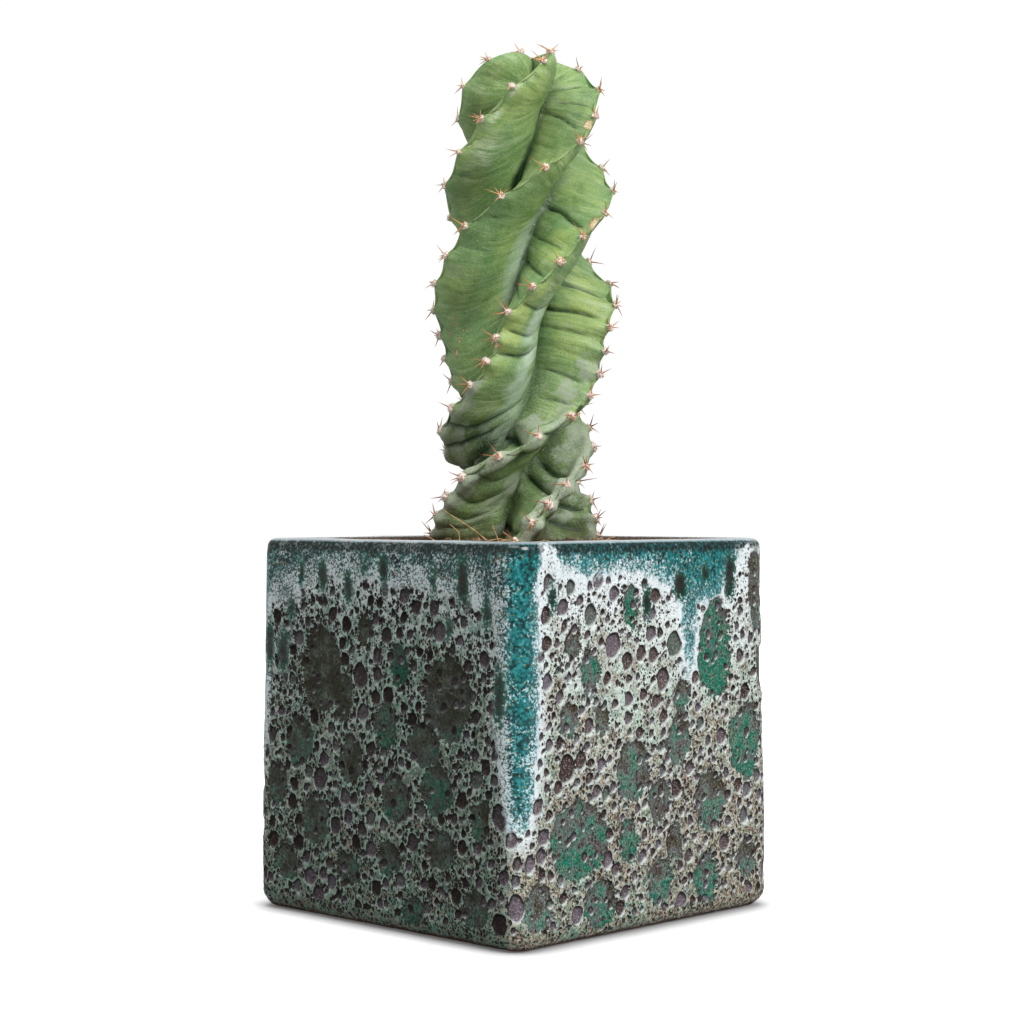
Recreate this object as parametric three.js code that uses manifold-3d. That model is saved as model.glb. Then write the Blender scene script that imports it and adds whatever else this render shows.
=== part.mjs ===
// A spiral cereus in a glazed cube planter.
// Millimetres, +Z up. The origin is on the ground, under the middle of the pot.
import * as THREE from "three";
import { mergeVertices } from "three/addons/utils/BufferGeometryUtils.js";
import Module from "manifold-3d";

const wasm = await Module();
wasm.setup();

// Driving sizes of the pot: a cube that is a little wider at its foot
const pot = {
  topWidth: 138.8,
  footWidth: 141.2,
  height: 140.8,
  cornerRadius: 9,
  rimRound: 3.4,
  footRound: 5,
  wall: 8,
  floor: 9,
  craterDepth: 0.8,
};

// Driving sizes of the soil, which is heaped a little under the stem
const soil = { edgeHeight: 130, heapHeight: 136, clearance: 0.3 };

// Driving sizes of the stem. Heights are above the ground.
const stem = {
  ribs: 4,
  footHeight: 112,
  footRadius: 8,
  seatHeight: soil.heapHeight + soil.clearance,
  shoulderHeight: 303,
  firstRibAzimuth: 217.3,
  leanAzimuth: 44.3,
  furrowRadius: 8.5,
  furrowPlace: 0.58,
  domeRing: 7,
  domeAcross: 20.5,
  domeUp: 22.4,
  domeLength: 42,
  upperFold: 8,
  lowerFold: -3,
  foldDepth: 1.1,
  notchTop: 1.0,
  notchFoot: 1.9,
};

// The woolly pads on the crests and their spines
const areole = {
  firstHeight: 140,
  firstSpacing: 6.65,
  spacingGrowth: 0.0295,
  ribPhase: [0.35, -0.06, 0.17, -0.25],
  padRadius: 1.7,
  padRise: 1.2,
  fewestSpines: 3,
  spineRadius: 0.42,
  shortSpine: 4.5,
  longSpine: 8,
};

const SEED = 22;

// Heights, and what the stem does there: degrees turned by the ribs since the soil,
// radius out to the crests, and how far the stem leans to one side
const turned = curveThrough([
  [136, 0], [156, 36], [165, 59], [172, 85], [184, 117], [200, 154], [212, 167], [222, 174],
  [245, 212], [256, 231], [270, 267], [280, 293], [300, 333], [319, 376], [329, 401], [345, 440],
]);
const crestRadius = curveThrough([
  [132, 31.8], [147, 31.2], [163, 29.5], [182, 28.9], [193, 29.3], [213, 32.4],
  [232, 34.7], [251, 33.6], [276, 31.6], [289, 29.6], [303, 27.5],
]);
const lean = curveThrough([
  [110, 0.6], [163, 0.8], [182, 1.2], [193, 2], [213, 3.5], [232, 4], [251, 5], [276, 5.8], [305, 6.3],
]);
// Degrees that each rib runs ahead of an even quarter turn
const ribSway = [
  curveThrough([[165, 0], [178, 9], [190, 20], [203, 12], [216, 1], [232, 0], [248, 13], [262, 4], [285, 0],
    [298, 15], [306, 20], [318, 3]]),
  curveThrough([[136, 0], [345, 0]]),
  curveThrough([[145, 0], [158, -8], [172, 0], [280, 0], [294, 7], [306, 0]]),
  curveThrough([[155, 0], [168, -20], [177, -14], [190, -3], [205, 0]]),
];

// A smooth curve through [height, value] stations, flat past both ends
function curveThrough(stations) {
  const slope = stations.map((_, i) => {
    const before = stations[Math.max(i - 1, 0)];
    const after = stations[Math.min(i + 1, stations.length - 1)];
    return (after[1] - before[1]) / (after[0] - before[0]);
  });
  return (height) => {
    const h = THREE.MathUtils.clamp(height, stations[0][0], stations.at(-1)[0]);
    const i = Math.max(1, stations.findIndex(([place]) => place >= h)) - 1;
    const [h0, v0] = stations[i];
    const [h1, v1] = stations[i + 1];
    const step = h1 - h0;
    const t = (h - h0) / step;
    const t2 = t * t;
    const t3 = t2 * t;
    return (2 * t3 - 3 * t2 + 1) * v0 + (t3 - 2 * t2 + t) * step * slope[i]
      + (3 * t2 - 2 * t3) * v1 + (t3 - t2) * step * slope[i + 1];
  };
}

// Random numbers from 0 to 1 that are the same on every run
function randomFrom(seed) {
  let state = seed;
  return () => {
    state = (state * 1664525 + 1013904223) % 4294967296;
    return state / 4294967296;
  };
}

// Triangles between rings of equally many points, closed at both ends by a fan
function loft(rings) {
  const count = rings[0].length;
  const middle = (ring) => ring.reduce((sum, p) => sum.add(p), new THREE.Vector3()).divideScalar(count);
  const points = [...rings.flat(), middle(rings[0]), middle(rings.at(-1))];
  const foot = points.length - 2;
  const top = points.length - 1;
  const faces = [];
  for (let i = 0; i < count; i++) {
    const j = (i + 1) % count;
    faces.push(foot, j, i);
    for (let row = 0; row < rings.length - 1; row++) {
      const below = row * count;
      const above = below + count;
      faces.push(below + i, below + j, above + j);
      faces.push(below + i, above + j, above + i);
    }
    const last = (rings.length - 1) * count;
    faces.push(top, last + i, last + j);
  }
  const geometry = new THREE.BufferGeometry();
  geometry.setAttribute("position", new THREE.Float32BufferAttribute(points.flatMap((p) => p.toArray()), 3));
  geometry.setIndex(faces);
  return geometry;
}

// A closed geometry as a solid that can be joined and cut
function solid(geometry, matrix = new THREE.Matrix4()) {
  const bare = geometry.clone().applyMatrix4(matrix);
  bare.deleteAttribute("normal");
  bare.deleteAttribute("uv");
  const merged = mergeVertices(bare, 1e-5);
  return new wasm.Manifold(new wasm.Mesh({
    numProp: 3,
    vertProperties: new Float32Array(merged.attributes.position.array),
    triVerts: new Uint32Array(merged.index.array),
  }));
}

function geometryOf(manifold) {
  const { vertProperties, triVerts } = manifold.getMesh();
  const geometry = new THREE.BufferGeometry();
  geometry.setAttribute("position", new THREE.Float32BufferAttribute(vertProperties, 3));
  geometry.setIndex(Array.from(triVerts));
  geometry.computeVertexNormals();
  return geometry;
}

// A square ring with rounded corners, level at the given height
function squareRing(halfWidth, radius, height) {
  const stepsInCorner = 4;
  const ring = [];
  for (let corner = 0; corner < 4; corner++) {
    for (let step = 0; step <= stepsInCorner; step++) {
      const angle = (corner + step / stepsInCorner) * (Math.PI / 2);
      const middle = (corner + 0.5) * (Math.PI / 2);
      const centre = (halfWidth - radius) * Math.SQRT2;
      ring.push(new THREE.Vector3(
        centre * Math.cos(middle) + radius * Math.cos(angle),
        centre * Math.sin(middle) + radius * Math.sin(angle),
        height,
      ));
    }
  }
  return ring;
}

// Pot: outside wall with its rounded foot and rim, then down the inside to the floor
function potShell() {
  const halfAt = (height) => THREE.MathUtils.lerp(pot.footWidth, pot.topWidth, height / pot.height) / 2;
  const ring = (inset, height) =>
    squareRing(halfAt(height) - inset, pot.cornerRadius - Math.min(inset, 6), height);
  const rings = [];
  for (const angle of [0, 30, 60, 90]) {
    const a = THREE.MathUtils.degToRad(angle);
    rings.push(ring(pot.footRound * (1 - Math.sin(a)), pot.footRound * (1 - Math.cos(a))));
  }
  for (const angle of [0, 30, 60, 90, 120, 150, 180]) {
    const a = THREE.MathUtils.degToRad(angle);
    const across = angle <= 90 ? pot.rimRound : pot.wall - pot.rimRound;
    rings.push(ring(pot.rimRound - across * Math.cos(a), pot.height - pot.rimRound * (1 - Math.sin(a))));
  }
  rings.push(ring(pot.wall, pot.floor));
  return loft(rings);
}

// Craters of the glaze. [side, across, height, width], where side 0 faces -Y, 1 faces +X,
// 2 faces +Y and 3 faces -X, and across is measured to the right as one looks at that side.
const largeCraters = [
  [0, -32, 92, 27], [0, 35, 85, 25], [0, 10, 96, 11], [0, 30, 53, 19], [0, 9, 48, 17], [0, 24, 68, 14],
  [0, -44, 65, 15], [0, -35, 36, 17], [0, -15, 60, 15], [0, 32, 32, 17], [0, 6, 26, 14], [0, -52, 19, 12],
  [0, 50, 13, 13],
  [1, 36, 103, 24], [1, 54, 64, 16], [1, -39, 36, 29], [1, -10, 58, 20], [1, 33, 44, 21], [1, 4, 17, 17],
  [1, 30, 16, 15], [1, -41, 106, 10], [1, -11, 115, 11], [1, -26, 77, 9], [1, 15, 67, 15], [1, -28, 15, 13],
];

function scatteredCraters() {
  const random = randomFrom(SEED);
  const craters = [];
  for (const side of [2, 3]) {
    for (let row = 0; row < 3; row++) {
      for (let column = 0; column < 3; column++) {
        const across = (column - 1) * 38 + (random() - 0.5) * 16 + (row % 2) * 8 - 4;
        craters.push([side, across, 26 + row * 34 + (random() - 0.5) * 10, 12 + random() * 13]);
      }
    }
  }
  return craters;
}

// A flat-bottomed dish with sloping sides, to cut from one side of the pot
function craterCutter([side, across, height, width]) {
  const wallAt = THREE.MathUtils.lerp(pot.footWidth, pot.topWidth, height / pot.height) / 2;
  const shape = new THREE.CylinderGeometry(width * 0.38, width * 0.58, pot.craterDepth * 2, 8);
  const place = new THREE.Matrix4().makeRotationZ(side * (Math.PI / 2));
  place.multiply(new THREE.Matrix4().makeTranslation(across, -wallAt, height));
  return solid(shape, place);
}

function potGeometry() {
  const craters = [...largeCraters, ...scatteredCraters()];
  return geometryOf(craters.reduce((body, crater) => body.subtract(craterCutter(crater)), solid(potShell())));
}

// Areoles are numbered upwards along a rib, and their spacing grows with height
function heightOf(number) {
  const { firstHeight, firstSpacing, spacingGrowth } = areole;
  return firstHeight + (Math.exp(spacingGrowth * number) - 1) * (firstSpacing / spacingGrowth);
}

function numberAt(height) {
  const { firstHeight, firstSpacing, spacingGrowth } = areole;
  return Math.log(1 + (height - firstHeight) * (spacingGrowth / firstSpacing)) / spacingGrowth;
}

// Rows and areoles stop short of the growing point
const lastNumber = numberAt(stem.shoulderHeight + stem.domeLength) - Math.max(...areole.ribPhase) - 0.1;

// Radius and height of the crest line and of the furrow line. Past the shoulder, along is
// the way over the dome to the growing point.
function crestLine(along) {
  const past = along - stem.shoulderHeight;
  if (past <= 0) return { radius: crestRadius(along), height: along };
  const angle = (past / stem.domeLength) * Math.acos(-stem.domeRing / stem.domeAcross);
  return {
    radius: stem.domeRing + stem.domeAcross * Math.cos(angle),
    height: stem.shoulderHeight + stem.domeUp * Math.sin(angle),
  };
}

function furrowLine(along) {
  const past = Math.max(0, along - stem.shoulderHeight) / stem.domeLength;
  const tip = crestLine(stem.shoulderHeight + stem.domeLength).height;
  return {
    radius: stem.furrowRadius * Math.cos((past * Math.PI) / 2),
    height: past > 0 ? THREE.MathUtils.lerp(stem.shoulderHeight, tip, past) : along,
  };
}

// Share of the way from furrow to crest. The flank above a crest is steep and hollow, the
// one below it broad and full. rib is 0 on one crest and 1 on the next.
function flank(rib) {
  if (rib < stem.furrowPlace) return (1 - (rib / stem.furrowPlace) ** 1.5) ** 1.3;
  return (1 - (1 - rib) / (1 - stem.furrowPlace)) ** 1.9;
}

// Folds cross the flanks from each notch of the crest: up the steep flank, down the full one
function foldRise(rib) {
  const { furrowPlace, upperFold, lowerFold } = stem;
  if (rib < furrowPlace) {
    const part = rib / furrowPlace;
    return lowerFold * Math.sin(part * Math.PI) + upperFold * THREE.MathUtils.smoothstep(part, 0.4, 1);
  }
  const part = (1 - rib) / (1 - furrowPlace);
  return upperFold * part * (2 - part);
}

function foldStrength(rib) {
  const { furrowPlace } = stem;
  if (rib < furrowPlace) return 1 - THREE.MathUtils.smoothstep(rib / furrowPlace, 0.1, 0.55);
  return 1 - THREE.MathUtils.smoothstep((1 - rib) / (1 - furrowPlace), 0.6, 1);
}

function levelWay(radius, azimuth) {
  return new THREE.Vector3(radius * Math.cos(azimuth), radius * Math.sin(azimuth), 0);
}

// Middle of the leaning stem at a height
function axisPoint(height) {
  return levelWay(lean(height), THREE.MathUtils.degToRad(stem.leanAzimuth)).setZ(height);
}

// The stem's skin without relief. number counts areoles up a rib, around counts ribs.
function skin(number, around) {
  const rib = THREE.MathUtils.euclideanModulo(around, stem.ribs);
  const lower = Math.floor(rib);
  const upper = (lower + 1) % stem.ribs;
  const part = rib - lower;
  const between = THREE.MathUtils.smoothstep(part, 0, 1);
  const phase = THREE.MathUtils.lerp(areole.ribPhase[lower], areole.ribPhase[upper], between);
  const level = heightOf(number + phase);
  const free = THREE.MathUtils.smoothstep(level, stem.seatHeight, stem.seatHeight + 20)
    * (1 - THREE.MathUtils.smoothstep(level, stem.shoulderHeight, stem.shoulderHeight + 25));
  const along = THREE.MathUtils.clamp(level + free * foldRise(part), stem.seatHeight,
    stem.shoulderHeight + stem.domeLength);
  const crest = crestLine(along);
  const furrow = furrowLine(along);
  const share = flank(part);
  const radius = THREE.MathUtils.lerp(furrow.radius, crest.radius, share);
  const height = THREE.MathUtils.lerp(furrow.height, crest.height, share);
  const sway = THREE.MathUtils.lerp(ribSway[lower](along), ribSway[upper](along), between);
  const azimuth = THREE.MathUtils.degToRad(
    stem.firstRibAzimuth + turned(along) + sway + (rib * 360) / stem.ribs);
  return axisPoint(height).add(levelWay(radius, azimuth));
}

function outward(number, around) {
  const step = 0.02;
  const up = skin(number + step, around).sub(skin(number - step, around));
  const side = skin(number, around + step).sub(skin(number, around - step));
  return side.cross(up).normalize();
}

// Notches between the areoles, and the folds that run from them
function relief(number, around) {
  const rib = THREE.MathUtils.euclideanModulo(around, 1);
  const fromNotch = Math.abs(THREE.MathUtils.euclideanModulo(number, 1) - 0.5);
  const valley = 1 - THREE.MathUtils.smoothstep(fromNotch, 0, 0.33);
  const nearCrest = 1 - THREE.MathUtils.smoothstep(Math.min(rib, 1 - rib), 0, 0.12);
  const level = heightOf(number);
  const share = (level - stem.seatHeight) / (stem.shoulderHeight - stem.seatHeight);
  const notch = THREE.MathUtils.lerp(stem.notchFoot, stem.notchTop, share);
  const free = THREE.MathUtils.smoothstep(level, stem.seatHeight, stem.seatHeight + 6)
    * (1 - THREE.MathUtils.smoothstep(level, stem.shoulderHeight, stem.shoulderHeight + 25));
  return -free * valley * Math.max(notch * nearCrest, stem.foldDepth * foldStrength(rib));
}

function skinPoint(number, around) {
  return skin(number, around).addScaledVector(outward(number, around), relief(number, around));
}

// Columns are closer together at the crests, where the skin turns sharply
const columns = [0, 0.06, 0.16, 0.3, 0.45, 0.58, 0.7, 0.83, 0.94];

function stemRing(number) {
  const ring = [];
  for (let rib = 0; rib < stem.ribs; rib++) {
    for (const column of columns) ring.push(skinPoint(number, rib + column));
  }
  return ring;
}

// A round foot stands in the soil. The ribs start flat on top of the soil.
function stemSkin() {
  const seat = stemRing(numberAt(stem.footHeight));
  const footRing = (height) => seat.map((point) => {
    const outwards = point.clone().sub(axisPoint(stem.seatHeight)).setLength(stem.footRadius);
    return axisPoint(stem.seatHeight).add(outwards).setZ(height);
  });
  const rings = [footRing(stem.footHeight), footRing(stem.seatHeight), seat];
  for (let number = 0; number < lastNumber; number++) {
    for (const part of [0.17, 0.5, 0.83]) {
      if (number + part < lastNumber) rings.push(stemRing(number + part));
    }
  }
  return loft(rings);
}

// A woolly pad on the crest, with spines that lean out all round it but clear of the soil
function areoleSolids(number, rib, random) {
  const place = skinPoint(number, rib);
  const fromAxis = place.clone().sub(axisPoint(place.z)).normalize();
  const out = outward(number, rib).add(fromAxis).normalize();
  const towards = (way) => new THREE.Quaternion().setFromUnitVectors(new THREE.Vector3(0, 0, 1), way);
  const placed = (shape, way) =>
    solid(shape, new THREE.Matrix4().compose(place, towards(way), new THREE.Vector3(1, 1, 1)));
  const pad = new THREE.ConeGeometry(areole.padRadius, 2 * areole.padRise, 5).rotateX(Math.PI / 2);
  const parts = [placed(pad, out)];
  const lowness = 1 - (place.z - stem.seatHeight) / (stem.shoulderHeight - stem.seatHeight);
  const spines = areole.fewestSpines + (number % 2);
  for (let i = 0; i < spines; i++) {
    const share = THREE.MathUtils.clamp(0.35 * random() + 0.65 * lowness * random(), 0, 1);
    const length = THREE.MathUtils.lerp(areole.shortSpine, areole.longSpine, share);
    const tilt = THREE.MathUtils.degToRad(45 + 30 * random());
    const turn = ((i + random() * 0.7) / spines) * 2 * Math.PI;
    const way = new THREE.Vector3().setFromSphericalCoords(1, tilt, turn).applyQuaternion(towards(out));
    if (place.z + way.z * length < soil.heapHeight + 2) way.z = Math.abs(way.z);
    const spine = new THREE.ConeGeometry(areole.spineRadius, length, 3).rotateX(Math.PI / 2);
    parts.push(placed(spine.translate(0, 0, length / 2), way));
  }
  return parts;
}

function stemGeometry() {
  const random = randomFrom(SEED);
  const parts = [];
  for (let rib = 0; rib < stem.ribs; rib++) {
    for (let number = 0; number < lastNumber - 0.4; number++) {
      parts.push(...areoleSolids(number, rib, random));
    }
  }
  return geometryOf(parts.reduce((body, part) => body.add(part), solid(stemSkin())));
}

// Soil: fills the pot, level under the stem, with the plain hole that the stem's foot stands in
function soilGeometry() {
  const half = pot.topWidth / 2 - pot.wall - soil.clearance;
  const corner = pot.cornerRadius - 6;
  const rings = [squareRing(half, corner, pot.floor + soil.clearance)];
  for (const share of [1, 0.9, 0.78, 0.6]) {
    const heaped = THREE.MathUtils.smoothstep(1 - share, 0, 0.4);
    const height = THREE.MathUtils.lerp(soil.edgeHeight, soil.heapHeight, heaped);
    rings.push(squareRing(half * share, THREE.MathUtils.lerp(half * 0.5, corner, share), height));
  }
  const depth = soil.heapHeight - stem.footHeight + 2 * soil.clearance;
  const radius = stem.footRadius + 2 * soil.clearance;
  const hole = new THREE.CylinderGeometry(radius, radius, 2 * depth, 24).rotateX(Math.PI / 2);
  const place = axisPoint(stem.seatHeight).setZ(stem.footHeight - soil.clearance + depth);
  return geometryOf(solid(loft(rings)).subtract(solid(hole, new THREE.Matrix4().setPosition(place))));
}

function piece(name, geometry, colour, roughness) {
  const material = new THREE.MeshStandardMaterial({ color: colour, roughness, metalness: 0 });
  const mesh = new THREE.Mesh(geometry, material);
  mesh.name = name;
  return mesh;
}

const pottedCereus = new THREE.Group();
pottedCereus.add(
  piece("pot", potGeometry(), 0x4f8078, 0.35),
  piece("soil", soilGeometry(), 0x4a3526, 0.95),
  piece("stem", stemGeometry(), 0x5f8f4f, 0.55),
);

export default pottedCereus;
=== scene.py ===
"""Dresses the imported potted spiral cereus: skin, areoles, spines, soil, straws, glaze and the stage.

Sizes are in millimetres while a piece is worked out, and in metres once it is a mesh.
"""
import math

import bpy
import numpy as np
from bpy.props import FloatProperty, FloatVectorProperty, IntProperty, PointerProperty
from mathutils import Matrix, Vector


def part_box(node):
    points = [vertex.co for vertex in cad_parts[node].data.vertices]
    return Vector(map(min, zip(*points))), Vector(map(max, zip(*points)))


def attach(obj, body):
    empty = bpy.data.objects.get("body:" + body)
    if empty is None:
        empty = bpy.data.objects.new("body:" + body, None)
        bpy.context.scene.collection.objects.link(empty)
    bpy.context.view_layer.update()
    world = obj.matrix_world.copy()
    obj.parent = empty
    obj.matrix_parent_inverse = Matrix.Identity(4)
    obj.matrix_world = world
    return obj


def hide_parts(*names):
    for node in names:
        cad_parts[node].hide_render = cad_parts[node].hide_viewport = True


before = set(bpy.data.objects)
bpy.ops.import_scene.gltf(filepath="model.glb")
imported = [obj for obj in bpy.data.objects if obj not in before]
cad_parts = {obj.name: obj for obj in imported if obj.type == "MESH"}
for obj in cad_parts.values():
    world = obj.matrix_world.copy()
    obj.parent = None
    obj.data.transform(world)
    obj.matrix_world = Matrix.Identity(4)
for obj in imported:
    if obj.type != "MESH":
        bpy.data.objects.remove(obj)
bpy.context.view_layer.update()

bl_info = {
    "name": "Potted spiral cereus",
    "version": (1, 0, 0),
    "blender": (4, 5, 0),
    "location": "3D View > Sidebar > Cereus",
    "description": "Builds the skin, areoles, spines, soil, straws and glazed pot of a spiral cereus",
    "category": "Add Mesh",
}

MM = 0.001
# The photo's camera: its way from the axis in degrees, then in pixels its focal length, how far right of the
# photo's middle and above it the camera looks, and the photo's width
PHOTO_SIDE = -45.7
FOCAL_PIXELS = 2222.2
OFF_MIDDLE = (1.9, 7.7)
PHOTO_PIXELS = 1024
SENSOR_WIDTH = 36
POT_HIGH = np.array(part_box("pot")[1]) / MM
SOIL_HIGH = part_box("soil")[1][2] / MM


def linear(code):
    """An sRGB hex colour as linear red, green and blue."""
    parts = [int(code[i:i + 2], 16) / 255 for i in (1, 3, 5)]
    return tuple(c / 12.92 if c <= 0.04045 else ((c + 0.055) / 1.055) ** 2.4 for c in parts)


def rgba(colour):
    """A colour with its alpha, from an sRGB hex code or from linear parts."""
    parts = linear(colour) if isinstance(colour, str) else tuple(colour)
    return (*parts, 1.0)[:4]


def length(label, words, size_mm):
    """A length that a user can change, given in millimetres."""
    return FloatProperty(name=label, description=words, default=size_mm * MM, min=0, unit="LENGTH",
                         precision=5)


def hue(label, words, code):
    """A colour that a user can change."""
    return FloatVectorProperty(name=label, description=words, default=linear(code), min=0, max=1,
                               subtype="COLOR", size=3)


# Stem: the same rule as the solid's, with finer folds, notches and wrinkles

RIBS = 4
STEM_LOW = 126.0
SHOULDER = 303.0
DOME_LENGTH = 42.0
# The dome's crests: an arc of this radius, this far out, that rises this far
DOME_ROUND = 20.5
DOME_OUT = 7.0
DOME_RISE = 22.4
DOME_BEND = math.acos(-DOME_OUT / DOME_ROUND)
# Rows of the skin up to the shoulder, and over the dome
STEM_ROWS = 282
DOME_ROWS = 52
# How much closer together the skin's columns are at the crests
CROWDING = 0.0875
FURROW_RADIUS = 8.5
SEAT = 136.3
FURROW_PLACE = 0.58
NOTCH_PLACE = 0.42
FIRST_RIB = 217.3
LEAN_WAY = 44.3
RIB_PHASE = np.array([0.35, -0.06, 0.17, -0.25])
FIRST_AREOLE = 140.0
FIRST_SPACING = 6.65
SPACING_GROWTH = 0.0295


def curve_through(stations):
    """A smooth curve through (height, value) stations, flat past both ends."""
    places, values = np.array(stations, float).T
    last = len(places) - 1
    before = np.maximum(np.arange(last + 1) - 1, 0)
    after = np.minimum(np.arange(last + 1) + 1, last)
    slopes = (values[after] - values[before]) / (places[after] - places[before])

    def value_at(height):
        h = np.clip(height, places[0], places[-1])
        i = np.clip(np.searchsorted(places, h), 1, last) - 1
        step = places[i + 1] - places[i]
        t = (h - places[i]) / step
        rise = (2 * t ** 3 - 3 * t ** 2 + 1) * values[i] + (3 * t ** 2 - 2 * t ** 3) * values[i + 1]
        return rise + step * ((t ** 3 - 2 * t ** 2 + t) * slopes[i] + (t ** 3 - t ** 2) * slopes[i + 1])

    return value_at


turned = curve_through([
    (136, 0), (156, 36), (165, 59), (172, 85), (184, 117), (200, 154), (212, 167), (222, 174), (245, 212),
    (256, 231), (270, 267), (280, 293), (300, 333), (319, 376), (329, 401), (345, 440)])
crest_radius = curve_through([
    (132, 31.8), (147, 31.2), (163, 29.5), (182, 28.9), (193, 29.3), (213, 32.4), (232, 34.7), (251, 33.6),
    (276, 31.6), (289, 29.6), (303, 27.5)])
lean = curve_through([
    (110, 0.6), (163, 0.8), (182, 1.2), (193, 2), (213, 3.5), (232, 4), (251, 5), (276, 5.8), (305, 6.3)])
rib_sway = [
    curve_through([(165, 0), (178, 9), (190, 20), (203, 12), (216, 1), (232, 0), (248, 13), (262, 4),
                   (285, 0), (298, 15), (306, 20), (318, 3)]),
    curve_through([(136, 0), (345, 0)]),
    curve_through([(145, 0), (158, -8), (172, 0), (280, 0), (294, 7), (306, 0)]),
    curve_through([(155, 0), (168, -20), (177, -14), (190, -3), (205, 0)]),
]


def smooth(value, low, high):
    """A smooth step from 0 at low to 1 at high."""
    t = np.clip((value - low) / (high - low), 0, 1)
    return t * t * (3 - 2 * t)


def mix(low, high, share):
    return low + (high - low) * share


def chance(*keys):
    """Even random numbers from 0 to 1, the same for the same whole-number keys."""
    h = np.zeros(np.broadcast(*keys).shape, np.int64)
    for key, prime in zip(keys, (73856093, 19349663, 83492791, 50331653)):
        h = h ^ (np.asarray(key).astype(np.int64) * prime)
    h = ((h ^ (h >> 13)) * 1274126177) & 0xFFFFFFFF
    h = ((h ^ (h >> 15)) * 2246822519) & 0xFFFFFFFF
    return ((h ^ (h >> 16)) & 0xFFFFFF) / 0xFFFFFF


def bumps(points, size, seed):
    """Smooth noise from -1 to 1, with bumps about size across."""
    place = points / size
    corner = np.floor(place).astype(np.int64)
    share = place - corner
    share = share * share * (3 - 2 * share)
    total = np.zeros(points.shape[:-1])
    for step in np.ndindex(2, 2, 2):
        weight = np.prod(np.where(step, share, 1 - share), axis=-1)
        at = corner + step
        total += weight * chance(at[..., 0], at[..., 1], at[..., 2], seed)
    return 2 * total - 1


def height_of(number):
    return FIRST_AREOLE + (np.exp(SPACING_GROWTH * number) - 1) * (FIRST_SPACING / SPACING_GROWTH)


def number_at(height):
    return np.log(1 + (height - FIRST_AREOLE) * (SPACING_GROWTH / FIRST_SPACING)) / SPACING_GROWTH


def flank(part):
    """Share of the way from furrow to crest: the flank after a crest is full, the one before it steep."""
    full = (1 - np.clip(part / FURROW_PLACE, 0, 1) ** 1.5) ** 1.3
    steep = np.clip(1 - (1 - part) / (1 - FURROW_PLACE), 0, 1) ** 1.9
    return np.where(part < FURROW_PLACE, full, steep)


def fold_rise(part):
    full_share = np.clip(part / FURROW_PLACE, 0, 1)
    full = -3 * np.sin(full_share * np.pi) + 8 * smooth(full_share, 0.4, 1)
    steep_share = np.clip((1 - part) / (1 - FURROW_PLACE), 0, 1)
    return np.where(part < FURROW_PLACE, full, 8 * steep_share * (2 - steep_share))


def axis_point(height):
    way = math.radians(LEAN_WAY)
    return np.stack([lean(height) * math.cos(way), lean(height) * math.sin(way), height], axis=-1)


def rib_phase(turn):
    lower = np.floor(turn).astype(int) % RIBS
    return mix(RIB_PHASE[lower], RIB_PHASE[(lower + 1) % RIBS], smooth(turn % 1, 0, 1))


def bare_skin(level, turn):
    """Points of the stem's skin without relief. turn counts ribs round the stem."""
    lower = np.floor(turn).astype(int) % RIBS
    upper = (lower + 1) % RIBS
    part = turn % 1
    between = smooth(part, 0, 1)
    free = smooth(level, SEAT, SEAT + 20) * (1 - smooth(level, SHOULDER, SHOULDER + 25))
    along = np.clip(level + free * fold_rise(part), 120, SHOULDER + DOME_LENGTH)
    past = np.maximum(0, along - SHOULDER) / DOME_LENGTH
    bend = past * DOME_BEND
    crest_out = np.where(past > 0, DOME_OUT + DOME_ROUND * np.cos(bend), crest_radius(along))
    crest_up = np.where(past > 0, SHOULDER + DOME_RISE * np.sin(bend), along)
    tip = SHOULDER + DOME_RISE * math.sin(DOME_BEND)
    furrow_out = FURROW_RADIUS * np.cos(past * np.pi / 2)
    furrow_up = np.where(past > 0, mix(SHOULDER, tip, past), along)
    share = flank(part)
    radius = mix(furrow_out, crest_out, share)
    height = mix(furrow_up, crest_up, share)
    sway = np.zeros_like(along)
    for rib in range(RIBS):
        here = rib_sway[rib](along)
        sway += np.where(lower == rib, (1 - between) * here, 0) + np.where(upper == rib, between * here, 0)
    azimuth = np.radians(FIRST_RIB + turned(along) + sway + (turn % RIBS) * 360 / RIBS)
    out = np.stack([radius * np.cos(azimuth), radius * np.sin(azimuth), np.zeros_like(radius)], axis=-1)
    return axis_point(height) + out


def facing(points):
    """Unit normals of a grid of points whose columns go all the way round."""
    up = np.gradient(points, axis=0)
    side = np.roll(points, -1, axis=1) - np.roll(points, 1, axis=1)
    out = np.cross(side, up)
    return out / np.maximum(np.linalg.norm(out, axis=-1, keepdims=True), 1e-9)


def skin_at(level, turn):
    """One point of the skin and the way that it faces."""
    levels = level + np.array([0, 0.2, -0.2, 0, 0])
    turns = turn + np.array([0, 0, 0, 0.01, -0.01])
    place, above, below, after, before = bare_skin(levels, turns)
    out = np.cross(after - before, above - below)
    return place, out / np.linalg.norm(out)


def way_across(points):
    """Millimetres from the nearest crest and from the nearest furrow, along each ring."""
    count = points.shape[1]
    per_rib = count // RIBS
    steps = np.linalg.norm(np.roll(points, -1, axis=1) - points, axis=-1)
    steps = steps.reshape(len(points), RIBS, per_rib)
    walked = np.concatenate([np.zeros((len(points), RIBS, 1)), np.cumsum(steps, axis=2)], axis=2)
    start, whole = walked[:, :, :-1], walked[:, :, -1:]
    parts = rib_parts(per_rib)
    middle = np.stack([[np.interp(FURROW_PLACE, np.append(parts, 1), walked[row, rib]) for rib in range(RIBS)]
                       for row in range(len(points))])[:, :, None]
    crest_gap = np.minimum(start, whole - start)
    furrow_gap = middle - start
    return crest_gap.reshape(len(points), count), furrow_gap.reshape(len(points), count)


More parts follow.
